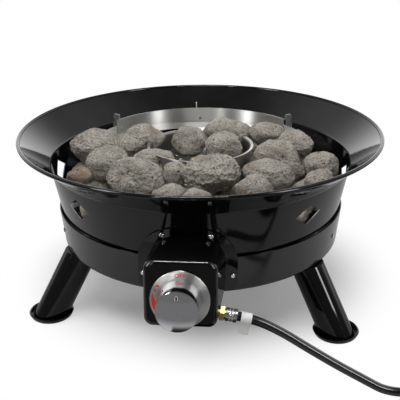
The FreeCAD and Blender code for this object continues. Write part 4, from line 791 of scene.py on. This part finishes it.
@dataclass
class LavaRocks:
    """The rock bed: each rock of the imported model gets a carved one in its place.

    Lumps, grain and ridges each have a height, a density and the settings of their noise. Pits
    are given as their density, the multiple of the random shift that places them, their depth
    and their width.
    """

    finisher: Finisher
    nodes: tuple[str, ...] = ("outer_rocks", "middle_rocks", "top_rocks_left", "top_rocks_front",
                              "top_rocks_right", "ring_rocks")
    spread: float = 0.011
    front_y: float = 0.05
    reach_of_style: float = 0.006
    usual_half: float = 0.035
    first_seed: int = 7
    flatness: float = 0.78
    facets: int = 9
    facet_depth: Pair = (0.78, 0.96)
    facet_sharpness: int = 16
    lobe_sharpness: int = 14
    shift_range: Pair = (-50, 50)
    lump: float = 0.075
    lump_density: float = 1.3
    lump_noise: tuple[float, ...] = (0.9, 2.1, 2)
    grain: float = 0.028
    grain_density: float = 5.2
    grain_noise: tuple[float, ...] = (0.55, 2.3, 5)
    ridge: float = 0.024
    ridge_share: float = 0.5
    ridge_noise: tuple[float, ...] = (0.8, 2.1, 3, 0.9, 2.0)
    ridge_mean: float = 1.2
    pit_power: float = 0.7
    pits: tuple[tuple[float, int, float, float], ...] = ((7.5, 2, 0.042, 0.34), (15.0, 3, 0.014, 0.36))
    shapes: tuple[Stone, ...] = (
        Stone(-183, 4, 1.25, 1.0, 1.08, 8, 12, (7, -14, 0)),
        Stone(-115, 50, 1.32, 1.05, 1.22, 12, 0, (6, -22, -1), 0.0, False,
              ((0.28, 0.18, 0.12, 0.80), (-0.34, -0.24, -0.16, 0.74))),
        Stone(-152, -76, 1.18, 1.05, 1.18, 10, -8, (6, 0, 1)),
        Stone(-190, -114, 1.2, 1.0, 1.05, 30, 0, (4, 15, 6), 0.0, True),
        Stone(-94, -122, 1.36, 1.0, 0.98, -6, 5, (5, 0, 0)),
        Stone(-100, -52, 1.9, 1.3, 1.4, 6, 4, (26, 8, 3)),
        Stone(28, -128, 1.16, 1.0, 1.0, -4, -4, (0, 2, 0), 0.8),
        Stone(-35, -142, 1.15, 1.0, 1.0, 20, 0, (0, -10, -2)),
        Stone(96, -156, 1.15, 1.0, 1.12, 0, 6, (0, 0, 3)),
        Stone(-32, -108, 1.15, 1.0, 1.7, 0, 0, (4, -12, -2)),
        Stone(-11, -184, 1.25, 1.0, 1.1, 0, 0, (20, 0, 1)),
        Stone(148, 56, 1.3, 1.0, 1.05, -16, -12, (10, -6, 0)),
        Stone(140, -32, 1.42, 1.1, 1.36, -12, 12, (-4, 0, 3)),
        Stone(204, -40, 1.15, 1.0, 1.1, 30, 0, (0, 10, 3)),
        Stone(198, -98, 1.05, 1.0, 1.1, 30, 0, (0, 0, 3)),
        Stone(117, -97, 1.34, 1.1, 1.06, -6, -8, (0, 6, 0)),
        Stone(97, 44, 2.1, 1.5, 1.8, -12, 8, (18, 15, 6)),
        Stone(48, 124, 1.26, 1.0, 1.05, -4, 5, (-2, -40, -1), 0.0, False,
              ((0.16, 0.0, -0.10, 0.84), (-0.36, 0.0, 0.20, 0.68))),
        Stone(-27, 42, 1.13, 1.0, 1.06, 0, -5, (5, 0, 0)),
        Stone(40, 12, 1.06, 1.0, 1.0, 10, 5, (0, 0, 1)),
        Stone(-105, -152, 1.35, 1.0, 1.0, -44, 0, (-36, 6, -5)),
        Stone(120, -145, 1.35, 1.0, 1.0, 45, 0, (27, 3, -5)),
    )

    def stones_of(self, name: str) -> list[tuple[Vector, float]]:
        """Find the separate stones of a node.

        Args:
            name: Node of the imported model.

        Returns:
            Each stone's centre and half width, in metres.
        """
        shape = bmesh.new()
        shape.from_mesh(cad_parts[name].data)
        bmesh.ops.remove_doubles(shape, verts=shape.verts, dist=1e-6)
        shape.verts.ensure_lookup_table()
        seen: set[int] = set()
        stones = []
        for start in shape.verts:
            if start.index in seen:
                continue
            heap, points = [start], []
            seen.add(start.index)
            while heap:
                vert = heap.pop()
                points.append(vert.co.copy())
                for edge in vert.link_edges:
                    other = edge.other_vert(vert)
                    if other.index not in seen:
                        seen.add(other.index)
                        heap.append(other)
            low = Vector([min(p[i] for p in points) for i in range(3)])
            high = Vector([max(p[i] for p in points) for i in range(3)])
            stones.append(((low + high) / 2, (high.x - low.x) / 2))
        shape.free()
        return stones

    def lobed(self, points: np.ndarray, lobes: tuple[Quad, ...]) -> np.ndarray:
        """Distance from the centre to the skin of the joined lobes along each direction.

        Args:
            points: Unit directions.
            lobes: Centre and radius of each lobe; no lobes make a plain ball.

        Returns:
            One distance for each direction.
        """
        if not lobes:
            return np.ones(len(points))
        total, sharp = np.zeros(len(points)), self.lobe_sharpness
        for x, y, z, radius in lobes:
            centre = np.array([x, y, z])
            along = points @ centre
            total += np.exp(sharp * (along + np.sqrt(along ** 2 - centre @ centre + radius ** 2)))
        return np.log(total) / sharp

    def carve(self, name: str, centre: Vector, half: float, seed: int, fine: bool) -> Piece:
        """Make one rock.

        Args:
            name: Name of the piece.
            centre: Its centre in metres.
            half: Half width in metres.
            seed: Number that varies its lumps.
            fine: Whether it gets the finer mesh.

        Returns:
            The rock.
        """
        near = [shape for shape in self.shapes
                if math.hypot(shape.x * MM - centre.x, shape.y * MM - centre.y) < self.reach_of_style]
        style = near[0] if near else Stone(0, 0, 1.0, 0.95, 1.0, seed * 47.0)
        dice = random.Random(seed)
        ball = bmesh.new()
        bmesh.ops.create_icosphere(ball, subdivisions=6 if fine else 5, radius=1.0)
        points = np.array([v.co for v in ball.verts])
        reach, sharp = self.lobed(points, style.lobes), self.facet_sharpness
        for _ in range(self.facets):
            way = np.array(Vector((dice.gauss(0, 1), dice.gauss(0, 1), dice.gauss(0, 0.8))).normalized())
            toward = points @ way
            cap = float((reach * toward).max()) * dice.uniform(*self.facet_depth) / np.maximum(toward, 0.05)
            reach = -np.log(np.exp(-sharp * reach) + np.exp(-sharp * cap)) / sharp
        shift = Vector([dice.uniform(*self.shift_range) for _ in range(3)])
        scale = half / self.usual_half
        rough = 1.0 + style.crag
        for index, vert in enumerate(ball.verts):
            at = vert.co.copy()
            spot = at * (self.grain_density * scale) + shift
            lumps = noise.fractal(at * self.lump_density + shift, *self.lump_noise)
            push = reach[index] + self.lump * lumps
            push += self.grain * rough * noise.fractal(spot, *self.grain_noise)
            ridges = noise.ridged_multi_fractal(spot * self.ridge_share, *self.ridge_noise)
            push += self.ridge * rough * (ridges - self.ridge_mean)
            for density, times, depth, width in self.pits:
                hole = noise.voronoi(at * (density * scale) + shift * times)[0][0]
                push -= depth * rough * max(0.0, 1.0 - hole / width) ** self.pit_power
            vert.co = at * push
        low = [min(vert.co[i] for vert in ball.verts) for i in range(3)]
        high = [max(vert.co[i] for vert in ball.verts) for i in range(3)]
        sizes = (style.length * half, style.width * half, style.height * self.flatness * half)
        turn = (Matrix.Rotation(math.radians(style.yaw), 3, "Z")
                @ Matrix.Rotation(math.radians(style.lean), 3, "Y"))
        middle = centre + Vector(style.shift) * MM
        if name.startswith("outer"):
            outward = self.spread if centre.y < self.front_y else 0.0
            middle += Vector((centre.x, centre.y, 0.0)).normalized() * outward
            middle += Vector((0, 0, outward / 2))
        for vert in ball.verts:
            place = Vector([(vert.co[i] - (low[i] + high[i]) / 2) / ((high[i] - low[i]) / 2) * sizes[i]
                            for i in range(3)])
            vert.co = turn @ place + middle
        mesh = bpy.data.meshes.new(name)
        ball.to_mesh(mesh)
        ball.free()
        mesh.shade_smooth()
        rock = link_object(name, mesh)
        self.finisher.dress(rock, BROWN_LAVA if style.brown else LAVA)
        return rock

    def build(self) -> None:
        """Carve every rock and put it in its node's place."""
        seed = self.first_seed
        for name in self.nodes:
            fine = name.startswith(("top", "ring"))
            for number, (centre, half) in enumerate(self.stones_of(name), start=1):
                seed += 1
                rock = self.carve(f"{name}_{number:02d}", centre, half, seed, fine)
                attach(rock, "frame")
                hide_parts(name)
            LOG.info("carved %s", name)


# ---- gas hose --------------------------------------------------------------------------------
@dataclass
class GasHose:
    """The hose from the control box to the regulator, one smooth tube with its wound length."""

    finisher: Finisher
    bore_half: float = 0.0065
    start: Triple = (0.076135, -0.3216, 0.130432)
    route: tuple[Triple, ...] = (
        (0.0978, -0.3215, 0.1267), (0.1330, -0.3182, 0.1090), (0.1780, -0.3160, 0.0778),
        (0.2180, -0.3142, 0.0515), (0.2580, -0.3119, 0.0270), (0.2920, -0.3102, 0.0065),
        (0.3360, -0.3093, 0.0065), (0.3800, -0.3115, 0.0065))
    coil_x: float = 0.404
    coil_y: float = -0.4025
    outer_turn: float = 0.091
    inner_turn: float = 0.065
    per_turn: int = 16
    top_turns: float = 1.55
    dip: float = 0.002
    slack: float = 1.01
    climb_power: float = 0.9
    loosen: float = 1.1
    tail: tuple[Triple, ...] = (
        (-0.0507, -0.0753, 0.0195), (-0.0753, -0.0507, 0.0215), (-0.0860, -0.0175, 0.0265),
        (-0.0806, 0.0168, 0.0325), (-0.0601, 0.0450, 0.0385), (-0.0291, 0.0608, 0.0420),
        (0.0057, 0.0608, 0.0420))

    def coil_points(self) -> list[Triple]:
        """Wound length: two turns inward, one that climbs, and out again on top.

        Returns:
            Control points in metres.
        """
        widen = 2.0 / (1.0 + math.cos(math.pi / self.per_turn)) * self.slack
        pitch = 2 * self.bore_half
        points = []
        for step in range(1, int(self.per_turn * (3 + self.top_turns)) + 1):
            turns = step / self.per_turn
            if turns <= 2:
                radius, height = self.outer_turn - pitch * turns, self.bore_half
            elif turns <= 3:
                part = turns - 2
                radius = self.inner_turn - self.dip * math.sin(math.pi * part)
                height = self.bore_half + pitch * math.sin(part * math.pi / 2) ** self.climb_power
            else:
                radius = self.inner_turn + self.loosen * pitch * (turns - 3)
                height = 3 * self.bore_half
            angle = math.pi / 2 - 2 * math.pi * turns
            radius *= widen
            points.append((self.coil_x + radius * math.cos(angle), self.coil_y + radius * math.sin(angle),
                           height))
        return points

    def build(self) -> Piece:
        """Returns:
            The hose.
        """
        route = [self.start, *self.route, *self.coil_points()]
        route += [(self.coil_x + x, self.coil_y + y, z) for x, y, z in self.tail]
        curve = bpy.data.curves.new("gas_hose", "CURVE")
        curve.dimensions = "3D"
        curve.bevel_depth = self.bore_half
        curve.bevel_resolution = 8
        curve.use_fill_caps = True
        line = curve.splines.new("NURBS")
        line.points.add(len(route) - 1)
        for point, place in zip(line.points, route):
            point.co = (*place, 1.0)
        line.order_u = 3
        line.use_endpoint_u = True
        line.resolution_u = 8
        line.use_smooth = True
        hose = link_object("gas_hose", curve)
        curve.materials.append(self.finisher.material(HOSE_RUBBER))
        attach(hose, "frame")
        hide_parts("hose_run", "hose_coil", "hose_tail")
        return hose


# ---- return spring ---------------------------------------------------------------------------
@dataclass
class ReturnSpring:
    """The coil between the box and the knob's collar. The real one shortens as the knob is pushed; this copy
    moves with the push at its full length.
    """

    finisher: Finisher
    node: str = "return_spring"
    axis: Triple = (0.0, 0.991445, -0.130526)
    travel: float = 0.003

    def build(self) -> Piece:
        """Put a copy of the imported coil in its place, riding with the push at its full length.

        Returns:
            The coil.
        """
        coil = link_object("spring_coil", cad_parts[self.node].data.copy())
        self.finisher.dress(coil, ZINC_STEEL)
        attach(coil, "push")
        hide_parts(self.node)
        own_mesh(coil)
        return coil


# ---- dial ------------------------------------------------------------------------------------
@dataclass
class DialPrint:
    """The dial's round plate, its red print and the pale line round the knob's pointer.

    The print is the closed position and a scale that widens with the flame. Sizes are in
    millimetres, and angles in degrees from the dial's top against the clock.
    """

    finisher: Finisher
    centre: Triple = (0.0, -0.342, 0.1648)
    tilt: float = 7.5
    plate: float = 1.0
    plate_radius: float = 41.0
    plate_point: float = 1.0
    plate_bore: float = 8.3
    plate_turns: int = 180
    plate_edge: float = 0.3
    point_half_angle: float = 16.0
    ink_gap: float = 0.005
    ink: float = 0.05
    word_radius: float = 35.2
    word_height: float = 5.7
    letter_share: float = 1.38
    letter_bold: float = 0.12
    ticks: tuple[Triple, ...] = ((57, 2.2, 3.6), (69, 1.7, 3.2))
    tick_gap: float = 1.5
    tick_tip: float = 0.3
    wedge: Pair = (77.0, 120.0)
    wedge_radius: float = 38.6
    wedge_width: float = 7.6
    wedge_start: float = 1.4
    wedge_growth: float = 1.6
    wedge_steps: int = 40
    outline: tuple[Triple, ...] = ((1.35, 3.4, 0.02), (2.25, 4.35, 0.02), (2.25, 4.35, 0.12),
                                  (1.35, 3.4, 0.12))
    outline_turns: int = 48

    def face(self) -> Matrix:
        """Dial frame: X across, Y up the face and Z out of it, in metres."""
        tilt = math.radians(self.tilt)
        across = Vector((1, 0, 0))
        up = Vector((0, math.sin(tilt), math.cos(tilt)))
        out = Vector((0, -math.cos(tilt), math.sin(tilt)))
        turn = Matrix((across, up, out)).transposed().to_4x4()
        return Matrix.Translation(Vector(self.centre)) @ turn

    def polar(self, radius: float, degrees: float, height: float) -> Vector:
        """Point on the dial, counted from its top against the clock; millimetres in, metres out."""
        angle = math.radians(degrees)
        return self.face() @ Vector((-radius * math.sin(angle) * MM, radius * math.cos(angle) * MM,
                                      height * MM))

    def strip(self, name: str, rows: list[Triple]) -> Piece:
        """Thin raised strip of print.

        Args:
            name: Name of the piece.
            rows: Angle, inner radius and outer radius of each cross line.

        Returns:
            The strip.
        """
        low, high = self.plate + self.ink_gap, self.plate + self.ink
        verts = []
        for angle, inner, outer in rows:
            verts += [self.polar(inner, angle, low), self.polar(outer, angle, low),
                      self.polar(outer, angle, high), self.polar(inner, angle, high)]
        end = 4 * (len(rows) - 1)
        caps = [(3, 2, 1, 0), (end, end + 1, end + 2, end + 3)]
        return closed_piece(name, verts, ring_faces(len(rows), 4, False) + caps)

    def round_plate(self) -> Piece:
        """Round plate with a small point at its top and a broken edge.

        Returns:
            The plate.
        """
        edge = self.plate_edge
        rings = ((self.plate_bore, 0.0, 0.0), (self.plate_radius, 0.0, 1.0),
                 (self.plate_radius, self.plate - edge, 1.0), (self.plate_radius - edge, self.plate, 1.0),
                 (self.plate_bore, self.plate, 0.0))
        verts = []
        for step in range(self.plate_turns):
            degrees = 360.0 * step / self.plate_turns
            off_top = min(degrees, 360.0 - degrees) / self.point_half_angle
            point = self.plate_point * max(0.0, 1.0 - off_top)
            verts += [self.polar(radius + point * share, degrees, height) for radius, height, share in rings]
        return closed_piece("dial_disc", verts, ring_faces(self.plate_turns, len(rings)))

    def word(self) -> Piece:
        """The word for the closed position, curved round the dial's top."""
        text = bpy.data.curves.new("word", "FONT")
        text.body = "OFF"
        text.size = self.word_height * self.letter_share * MM
        text.align_x = "CENTER"
        text.extrude = self.ink / 2 * MM
        text.offset = self.letter_bold * MM
        made = link_object("word_source", text)
        depsgraph = bpy.context.evaluated_depsgraph_get()
        mesh = bpy.data.meshes.new_from_object(made.evaluated_get(depsgraph))
        bpy.data.objects.remove(made)
        place = self.face() @ Matrix.Translation(
            Vector((0, (self.word_radius - self.word_height / 2) * MM,
                    (self.plate + self.ink / 2 + self.ink_gap) * MM)))
        for vert in mesh.vertices:
            bend = vert.co.x / (self.word_radius * MM)
            reach = self.word_radius * MM
            vert.co = place @ Vector(((reach + vert.co.y) * math.sin(bend),
                                      (reach + vert.co.y) * math.cos(bend) - reach, vert.co.z))
        mesh.name = "dial_word"
        return link_object("dial_word", mesh)

    def pointer_outline(self) -> Piece:
        """Pale oval line printed round the face of the knob's pointer.

        Returns:
            The outline.
        """
        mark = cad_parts["knob_pointer"].data
        out = self.face().to_3x3() @ Vector((0, 0, 1))
        normal = max((face for face in mark.polygons if face.normal.dot(out) > 0.7),
                     key=lambda face: face.area).normal.copy()
        top = max(vert.co.dot(normal) for vert in mark.vertices)
        rim = [vert.co for vert in mark.vertices if vert.co.dot(normal) > top - 1e-5]
        centre = sum(rim, Vector()) / len(rim)
        across = Vector((1, 0, 0))
        up = normal.cross(across)
        verts = []
        for step in range(self.outline_turns):
            angle = math.tau * step / self.outline_turns
            for wide, tall, height in self.outline:
                verts.append(centre + (across * wide * math.cos(angle) + up * tall * math.sin(angle)
                                       + normal * height) * MM)
        return closed_piece("pointer_outline", verts, ring_faces(self.outline_turns, len(self.outline)))

    def build(self) -> None:
        """Print the dial."""
        pieces = [self.word()]
        for number, (angle, half, length) in enumerate(self.ticks, start=1):
            inner = self.wedge_radius - length - self.tick_gap
            outer = inner + length
            rows = [(angle - half, inner, outer), (angle, inner - self.tick_tip, outer + self.tick_tip),
                    (angle + half, inner, outer)]
            pieces.append(self.strip(f"dial_mark_{number}", rows))
        start, end = self.wedge
        rows = []
        for step in range(self.wedge_steps + 1):
            part = step / self.wedge_steps
            angle = start + (end - start) * part
            grown = min(1.0, part * self.wedge_growth)
            width = self.wedge_start + (self.wedge_width - self.wedge_start) * grown
            rows.append((angle, self.wedge_radius - width, self.wedge_radius))
        pieces.append(self.strip("dial_flame_scale", rows))
        for piece in pieces:
            self.finisher.dress(piece, RED_PRINT)
            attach(piece, "frame")
        plate = self.round_plate()
        self.finisher.dress(plate, SPUN_STEEL)
        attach(plate, "frame")
        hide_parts("dial_plate")
        outline = self.pointer_outline()
        self.finisher.dress(outline, PALE_PRINT)
        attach(outline, "knob")
        LOG.info("printed the dial")


# ---- studio ----------------------------------------------------------------------------------
@dataclass
class Studio:
    """Camera, pale floor, soft boxes and surroundings.

    Spans are in metres on the floor and in shares of a direction in the room.
    """

    eye: Triple = (0.1012, -1.1928, 0.6711)
    look: Triple = (-0.0787, 0.9181, -0.3885)
    roll: float = -0.009
    lens: float = 66.157
    sensor: float = 36.0
    near: float = 0.01
    aim: Triple = (0.0, 0.0, 0.2)
    soft_boxes: tuple[tuple[str, Triple, Pair, float], ...] = (
        ("key_soft_box", (-0.3, -0.9, 1.7), (1.4, 0.8), 13.0),
        ("top_soft_box", (0.1, 0.25, 2.0), (1.6, 1.2), 26.0),
        ("left_soft_box", (-1.7, -0.3, 0.9), (0.8, 1.2), 6.0),
        ("right_soft_box", (1.7, -0.2, 1.1), (0.8, 1.2), 3.0))
    strips: tuple[Triple, ...] = ((-54.0, 0.42, 22.0), (19.0, 0.10, 5.0), (51.0, 0.42, 27.0))
    strip_distance: float = 2.0
    strip_z: float = 1.15
    strip_length: float = 1.3
    edge_strip: tuple[Triple, Pair, float] = ((-0.05, -0.62, 2.0), (0.9, 0.08), 30.0)
    vent_turns: Pair = (-44.4, 45.6)
    vent_fill: float = 0.012
    vent_radius: float = 0.241
    vent_z: float = 0.244
    vent_lamp_size: float = 0.004
    fill: float = 0.36
    room_front: float = 0.17
    room_back: float = 2.1
    room_ceiling: float = 1.1
    room_depth: Pair = (-0.10, 0.75)
    room_rise: Pair = (0.20, 0.62)
    ceiling_depth: Pair = (-0.75, -0.30)
    ceiling_front: float = 0.06
    ceiling_width: Pair = (0.28, 0.70)
    ceiling_middle: float = 0.24
    floor_half: float = 12.0
    floor_colour: tuple[float, ...] = (0.9, 0.9, 0.9, 1)
    floor_glow: float = 0.16
    white_matt: float = 0.45
    white_mirror: float = 0.15
    white_camera: float = 0.55
    floor_front: float = 0.20
    shadow_y: float = 0.10
    shadow_fade: Pair = (0.235, 0.40)
    mirror_fade: Pair = (0.45, 0.80)
    front_edge: Pair = (-0.70, -0.46)
    # Painted shade on the floor that only reflections see: its level, then the edges of the patch in front of
    # the box.
    reflected_shade: float = 0.02
    reflected_shade_left: Pair = (-0.057, -0.045)
    reflected_shade_right: Pair = (0.115, 0.121)
    reflected_shade_fore: Pair = (-0.62, -0.54)
    reflected_shade_back: Pair = (-0.25, -0.20)
    side_dim: float = 0.46

    def camera(self) -> Piece:
        """Set the camera.

        Returns:
            The camera.
        """
        data = bpy.data.cameras.new("camera")
        data.lens = self.lens
        data.sensor_width = self.sensor
        data.sensor_fit = "HORIZONTAL"
        data.clip_start = self.near
        camera = link_object("camera", data)
        turn = Vector(self.look).to_track_quat("-Z", "Y").to_matrix().to_4x4()
        camera.matrix_world = (Matrix.Translation(Vector(self.eye)) @ turn
                               @ Matrix.Rotation(self.roll, 4, "Z"))
        bpy.context.scene.camera = camera
        return camera

    def soft_box(self, name: str, place: Triple, size: Pair, power: float, shown: bool) -> None:
        """Add a rectangular lamp that faces the object.

        Args:
            name: Name of the lamp.
            place: Where it stands.
            size: Width and height in metres.
            power: Power in watts.
            shown: Whether only gloss and metal see the lamp; if not, only matt surfaces do.
        """
        data = bpy.data.lights.new(name, "AREA")
        data.shape = "RECTANGLE"
        data.size, data.size_y = size
        data.energy = power
        lamp = link_object(name, data)
        turn = (Vector(self.aim) - Vector(place)).to_track_quat("-Z", "Y").to_matrix().to_4x4()
        lamp.matrix_world = Matrix.Translation(Vector(place)) @ turn
        lamp.visible_glossy = shown
        lamp.visible_diffuse = not shown

    def vent_lamp(self, turn: float) -> None:
        """Add the small share of daylight that falls down the wall behind a vent.

        Args:
            turn: Azimuth of the vent in degrees from the front.
        """
        data = bpy.data.lights.new("vent_fill", "POINT")
        data.shadow_soft_size = self.vent_lamp_size
        data.energy = self.vent_fill
        lamp = link_object("vent_fill", data)
        angle = math.radians(turn)
        lamp.location = (self.vent_radius * math.sin(angle), -self.vent_radius * math.cos(angle), self.vent_z)
        lamp.visible_glossy = False

    @staticmethod
    def glow(tree: Tree, kind: str, strength: object) -> Socket:
        """White light from a background or an emission shader, of a given strength."""
        made = node(tree, kind, Color=(1, 1, 1, 1))
        feed(made.inputs["Strength"], strength)
        return made.outputs[0]

    @staticmethod
    def choose(tree: Tree, factor: Socket, first: Socket, second: Socket) -> Socket:
        """Mix two shaders."""
        made = node(tree, "ShaderNodeMixShader")
        for target, value in zip(made.inputs, (factor, first, second)):
            feed(target, value)
        return made.outputs[0]

    @staticmethod
    def rays(tree: Tree) -> tuple[Socket, Socket]:
        """Whether a ray comes from the camera, and whether it comes off gloss or through glass."""
        path = node(tree, "ShaderNodeLightPath").outputs
        return path["Is Camera Ray"], calculate(tree, "MAXIMUM", path["Is Glossy Ray"],
                                                path["Is Transmission Ray"])

    def surroundings(self) -> None:
        """White behind the object, a room with bright sides and back for the gloss, and fill light."""
        world = bpy.data.worlds.new("room")
        bpy.context.scene.world = world
        world.use_nodes = True
        tree = world.node_tree
        tree.nodes.clear()
        out = node(tree, "ShaderNodeOutputWorld")
        x, y, z = axes(tree, node(tree, "ShaderNodeTexCoord").outputs["Generated"])
        deep = soft_step(tree, y, self.room_depth, self.room_front, self.room_back)
        low = calculate(tree, "MULTIPLY", deep, soft_step(tree, z, self.room_rise, 1.0, 0.0))
        over = soft_step(tree, z, self.room_rise, 0.0, self.room_ceiling)
        behind = soft_step(tree, y, self.ceiling_depth, self.ceiling_front, 1.0)
        across = calculate(tree, "ABSOLUTE", x)
        aside = soft_step(tree, across, self.ceiling_width, self.ceiling_middle, 1.0)
        above = calculate(tree, "MULTIPLY", over, calculate(tree, "MULTIPLY", behind, aside))
        kind = "ShaderNodeBackground"
        room = self.glow(tree, kind, calculate(tree, "ADD", low, above))
        camera, mirror = self.rays(tree)
        lit = self.choose(tree, mirror, self.glow(tree, kind, self.fill), room)
        feed(out.inputs["Surface"], self.choose(tree, camera, lit, self.glow(tree, kind, 1.0)))

    def reflected_shade_mask(self, tree: Tree, x: Socket, y: Socket) -> Socket:
        """Mask of painted shade on the floor in front of the control box, which the gloss alone sees.

        Args:
            tree: The floor's node tree.
            x: Place across the floor.
            y: Place along it.

        Returns:
            1 in the painted shade and 0 beside it.
        """
        left = soft_step(tree, x, self.reflected_shade_left)
        right = soft_step(tree, x, self.reflected_shade_right, 1.0, 0.0)
        fore = soft_step(tree, y, self.reflected_shade_fore)
        back = soft_step(tree, y, self.reflected_shade_back, 1.0, 0.0)
        return calculate(tree, "MULTIPLY", calculate(tree, "MULTIPLY", left, right),
                         calculate(tree, "MULTIPLY", fore, back))

    def floor(self) -> None:
        """A pale floor that keeps the object's shadow and turns pure white away from it."""
        mesh = bpy.data.meshes.new("floor")
        half = self.floor_half
        mesh.from_pydata([(-half, -half, 0), (half, -half, 0), (half, half, 0), (-half, half, 0)], [],
                         [(0, 1, 2, 3)])
        floor = link_object("floor", mesh)
        material = bpy.data.materials.new("Pale floor")
        material.use_nodes = True
        tree = material.node_tree
        tree.nodes.clear()
        out = node(tree, "ShaderNodeOutputMaterial")
        camera, mirror = self.rays(tree)
        seen = calculate(tree, "MAXIMUM", camera, mirror)
        where = node(tree, "ShaderNodeTexCoord").outputs["Object"]
        x, y, _ = axes(tree, where)
        away = node(tree, "ShaderNodeVectorMath", operation="LENGTH")
        feed(away.inputs[0], where)
        shift = node(tree, "ShaderNodeVectorMath", operation="SUBTRACT")
        feed(shift.inputs[0], where)
        feed(shift.inputs[1], (0.0, self.shadow_y, 0.0))
        spot = node(tree, "ShaderNodeVectorMath", operation="LENGTH")
        feed(spot.inputs[0], shift.outputs["Vector"])
        plain_far = soft_step(tree, spot.outputs["Value"], self.shadow_fade)
        mirror_far = soft_step(tree, away.outputs["Value"], self.mirror_fade)
        change = calculate(tree, "SUBTRACT", mirror_far, plain_far)
        far = calculate(tree, "MULTIPLY_ADD", change, mirror, plain_far)
        kind = "ShaderNodeEmission"
        near = node(tree, "ShaderNodeAddShader")
        feed(near.inputs[0], node(tree, "ShaderNodeBsdfDiffuse", Color=self.floor_colour).outputs[0])
        feed(near.inputs[1], self.glow(tree, kind, calculate(tree, "MULTIPLY", seen, self.floor_glow)))
        plain = calculate(tree, "MULTIPLY_ADD", mirror, self.white_mirror, self.white_matt)
        white = self.glow(tree, kind, calculate(tree, "MULTIPLY_ADD", camera, self.white_camera, plain))
        base = self.choose(tree, far, near.outputs[0], white)
        front = soft_step(tree, y, self.front_edge, 1.0, 0.0)
        dark = calculate(tree, "MULTIPLY", front, mirror)
        lit = self.choose(tree, dark, base, self.glow(tree, kind, self.floor_front))
        # Near the object the floor that reflections see is dimmed towards the painted shade, and on the patch
        # before the box it is all painted shade.
        side = calculate(tree, "MULTIPLY_ADD", front, -self.side_dim, self.side_dim)
        dimmed = calculate(tree, "MAXIMUM", self.reflected_shade_mask(tree, x, y), side)
        shown = calculate(tree, "MULTIPLY", dimmed, mirror)
        feed(out.inputs["Surface"], self.choose(tree, shown, lit, self.glow(tree, kind, self.reflected_shade)))
        mesh.materials.append(material)

    def build(self) -> None:
        """Put up the studio round the camera."""
        bpy.context.scene.view_settings.view_transform = "Standard"
        self.surroundings()
        self.floor()
        for name, place, size, power in self.soft_boxes:
            self.soft_box(name, place, size, power, False)
        for number, (turn, width, power) in enumerate(self.strips, start=1):
            angle = math.radians(turn)
            place = (-self.strip_distance * math.sin(angle), -self.strip_distance * math.cos(angle),
                     self.strip_z)
            self.soft_box(f"strip_{number}", place, (width, self.strip_length), power, True)
        self.soft_box("edge_strip", *self.edge_strip, True)
        for turn in self.vent_turns:
            self.vent_lamp(turn)
        LOG.info("studio is up")


def main() -> None:
    """Build the scene in order: camera and hose first, then finishes, rocks and studio."""
    logging.basicConfig(level=logging.INFO)
    studio = Studio()
    studio.camera()
    finisher = Finisher()
    GasHose(finisher).build()
    finisher.dress_nodes()
    FireBowl(finisher).build()
    LavaRocks(finisher).build()
    ReturnSpring(finisher).build()
    DialPrint(finisher).build()
    studio.build()


if __name__ == "__main__":
    main()
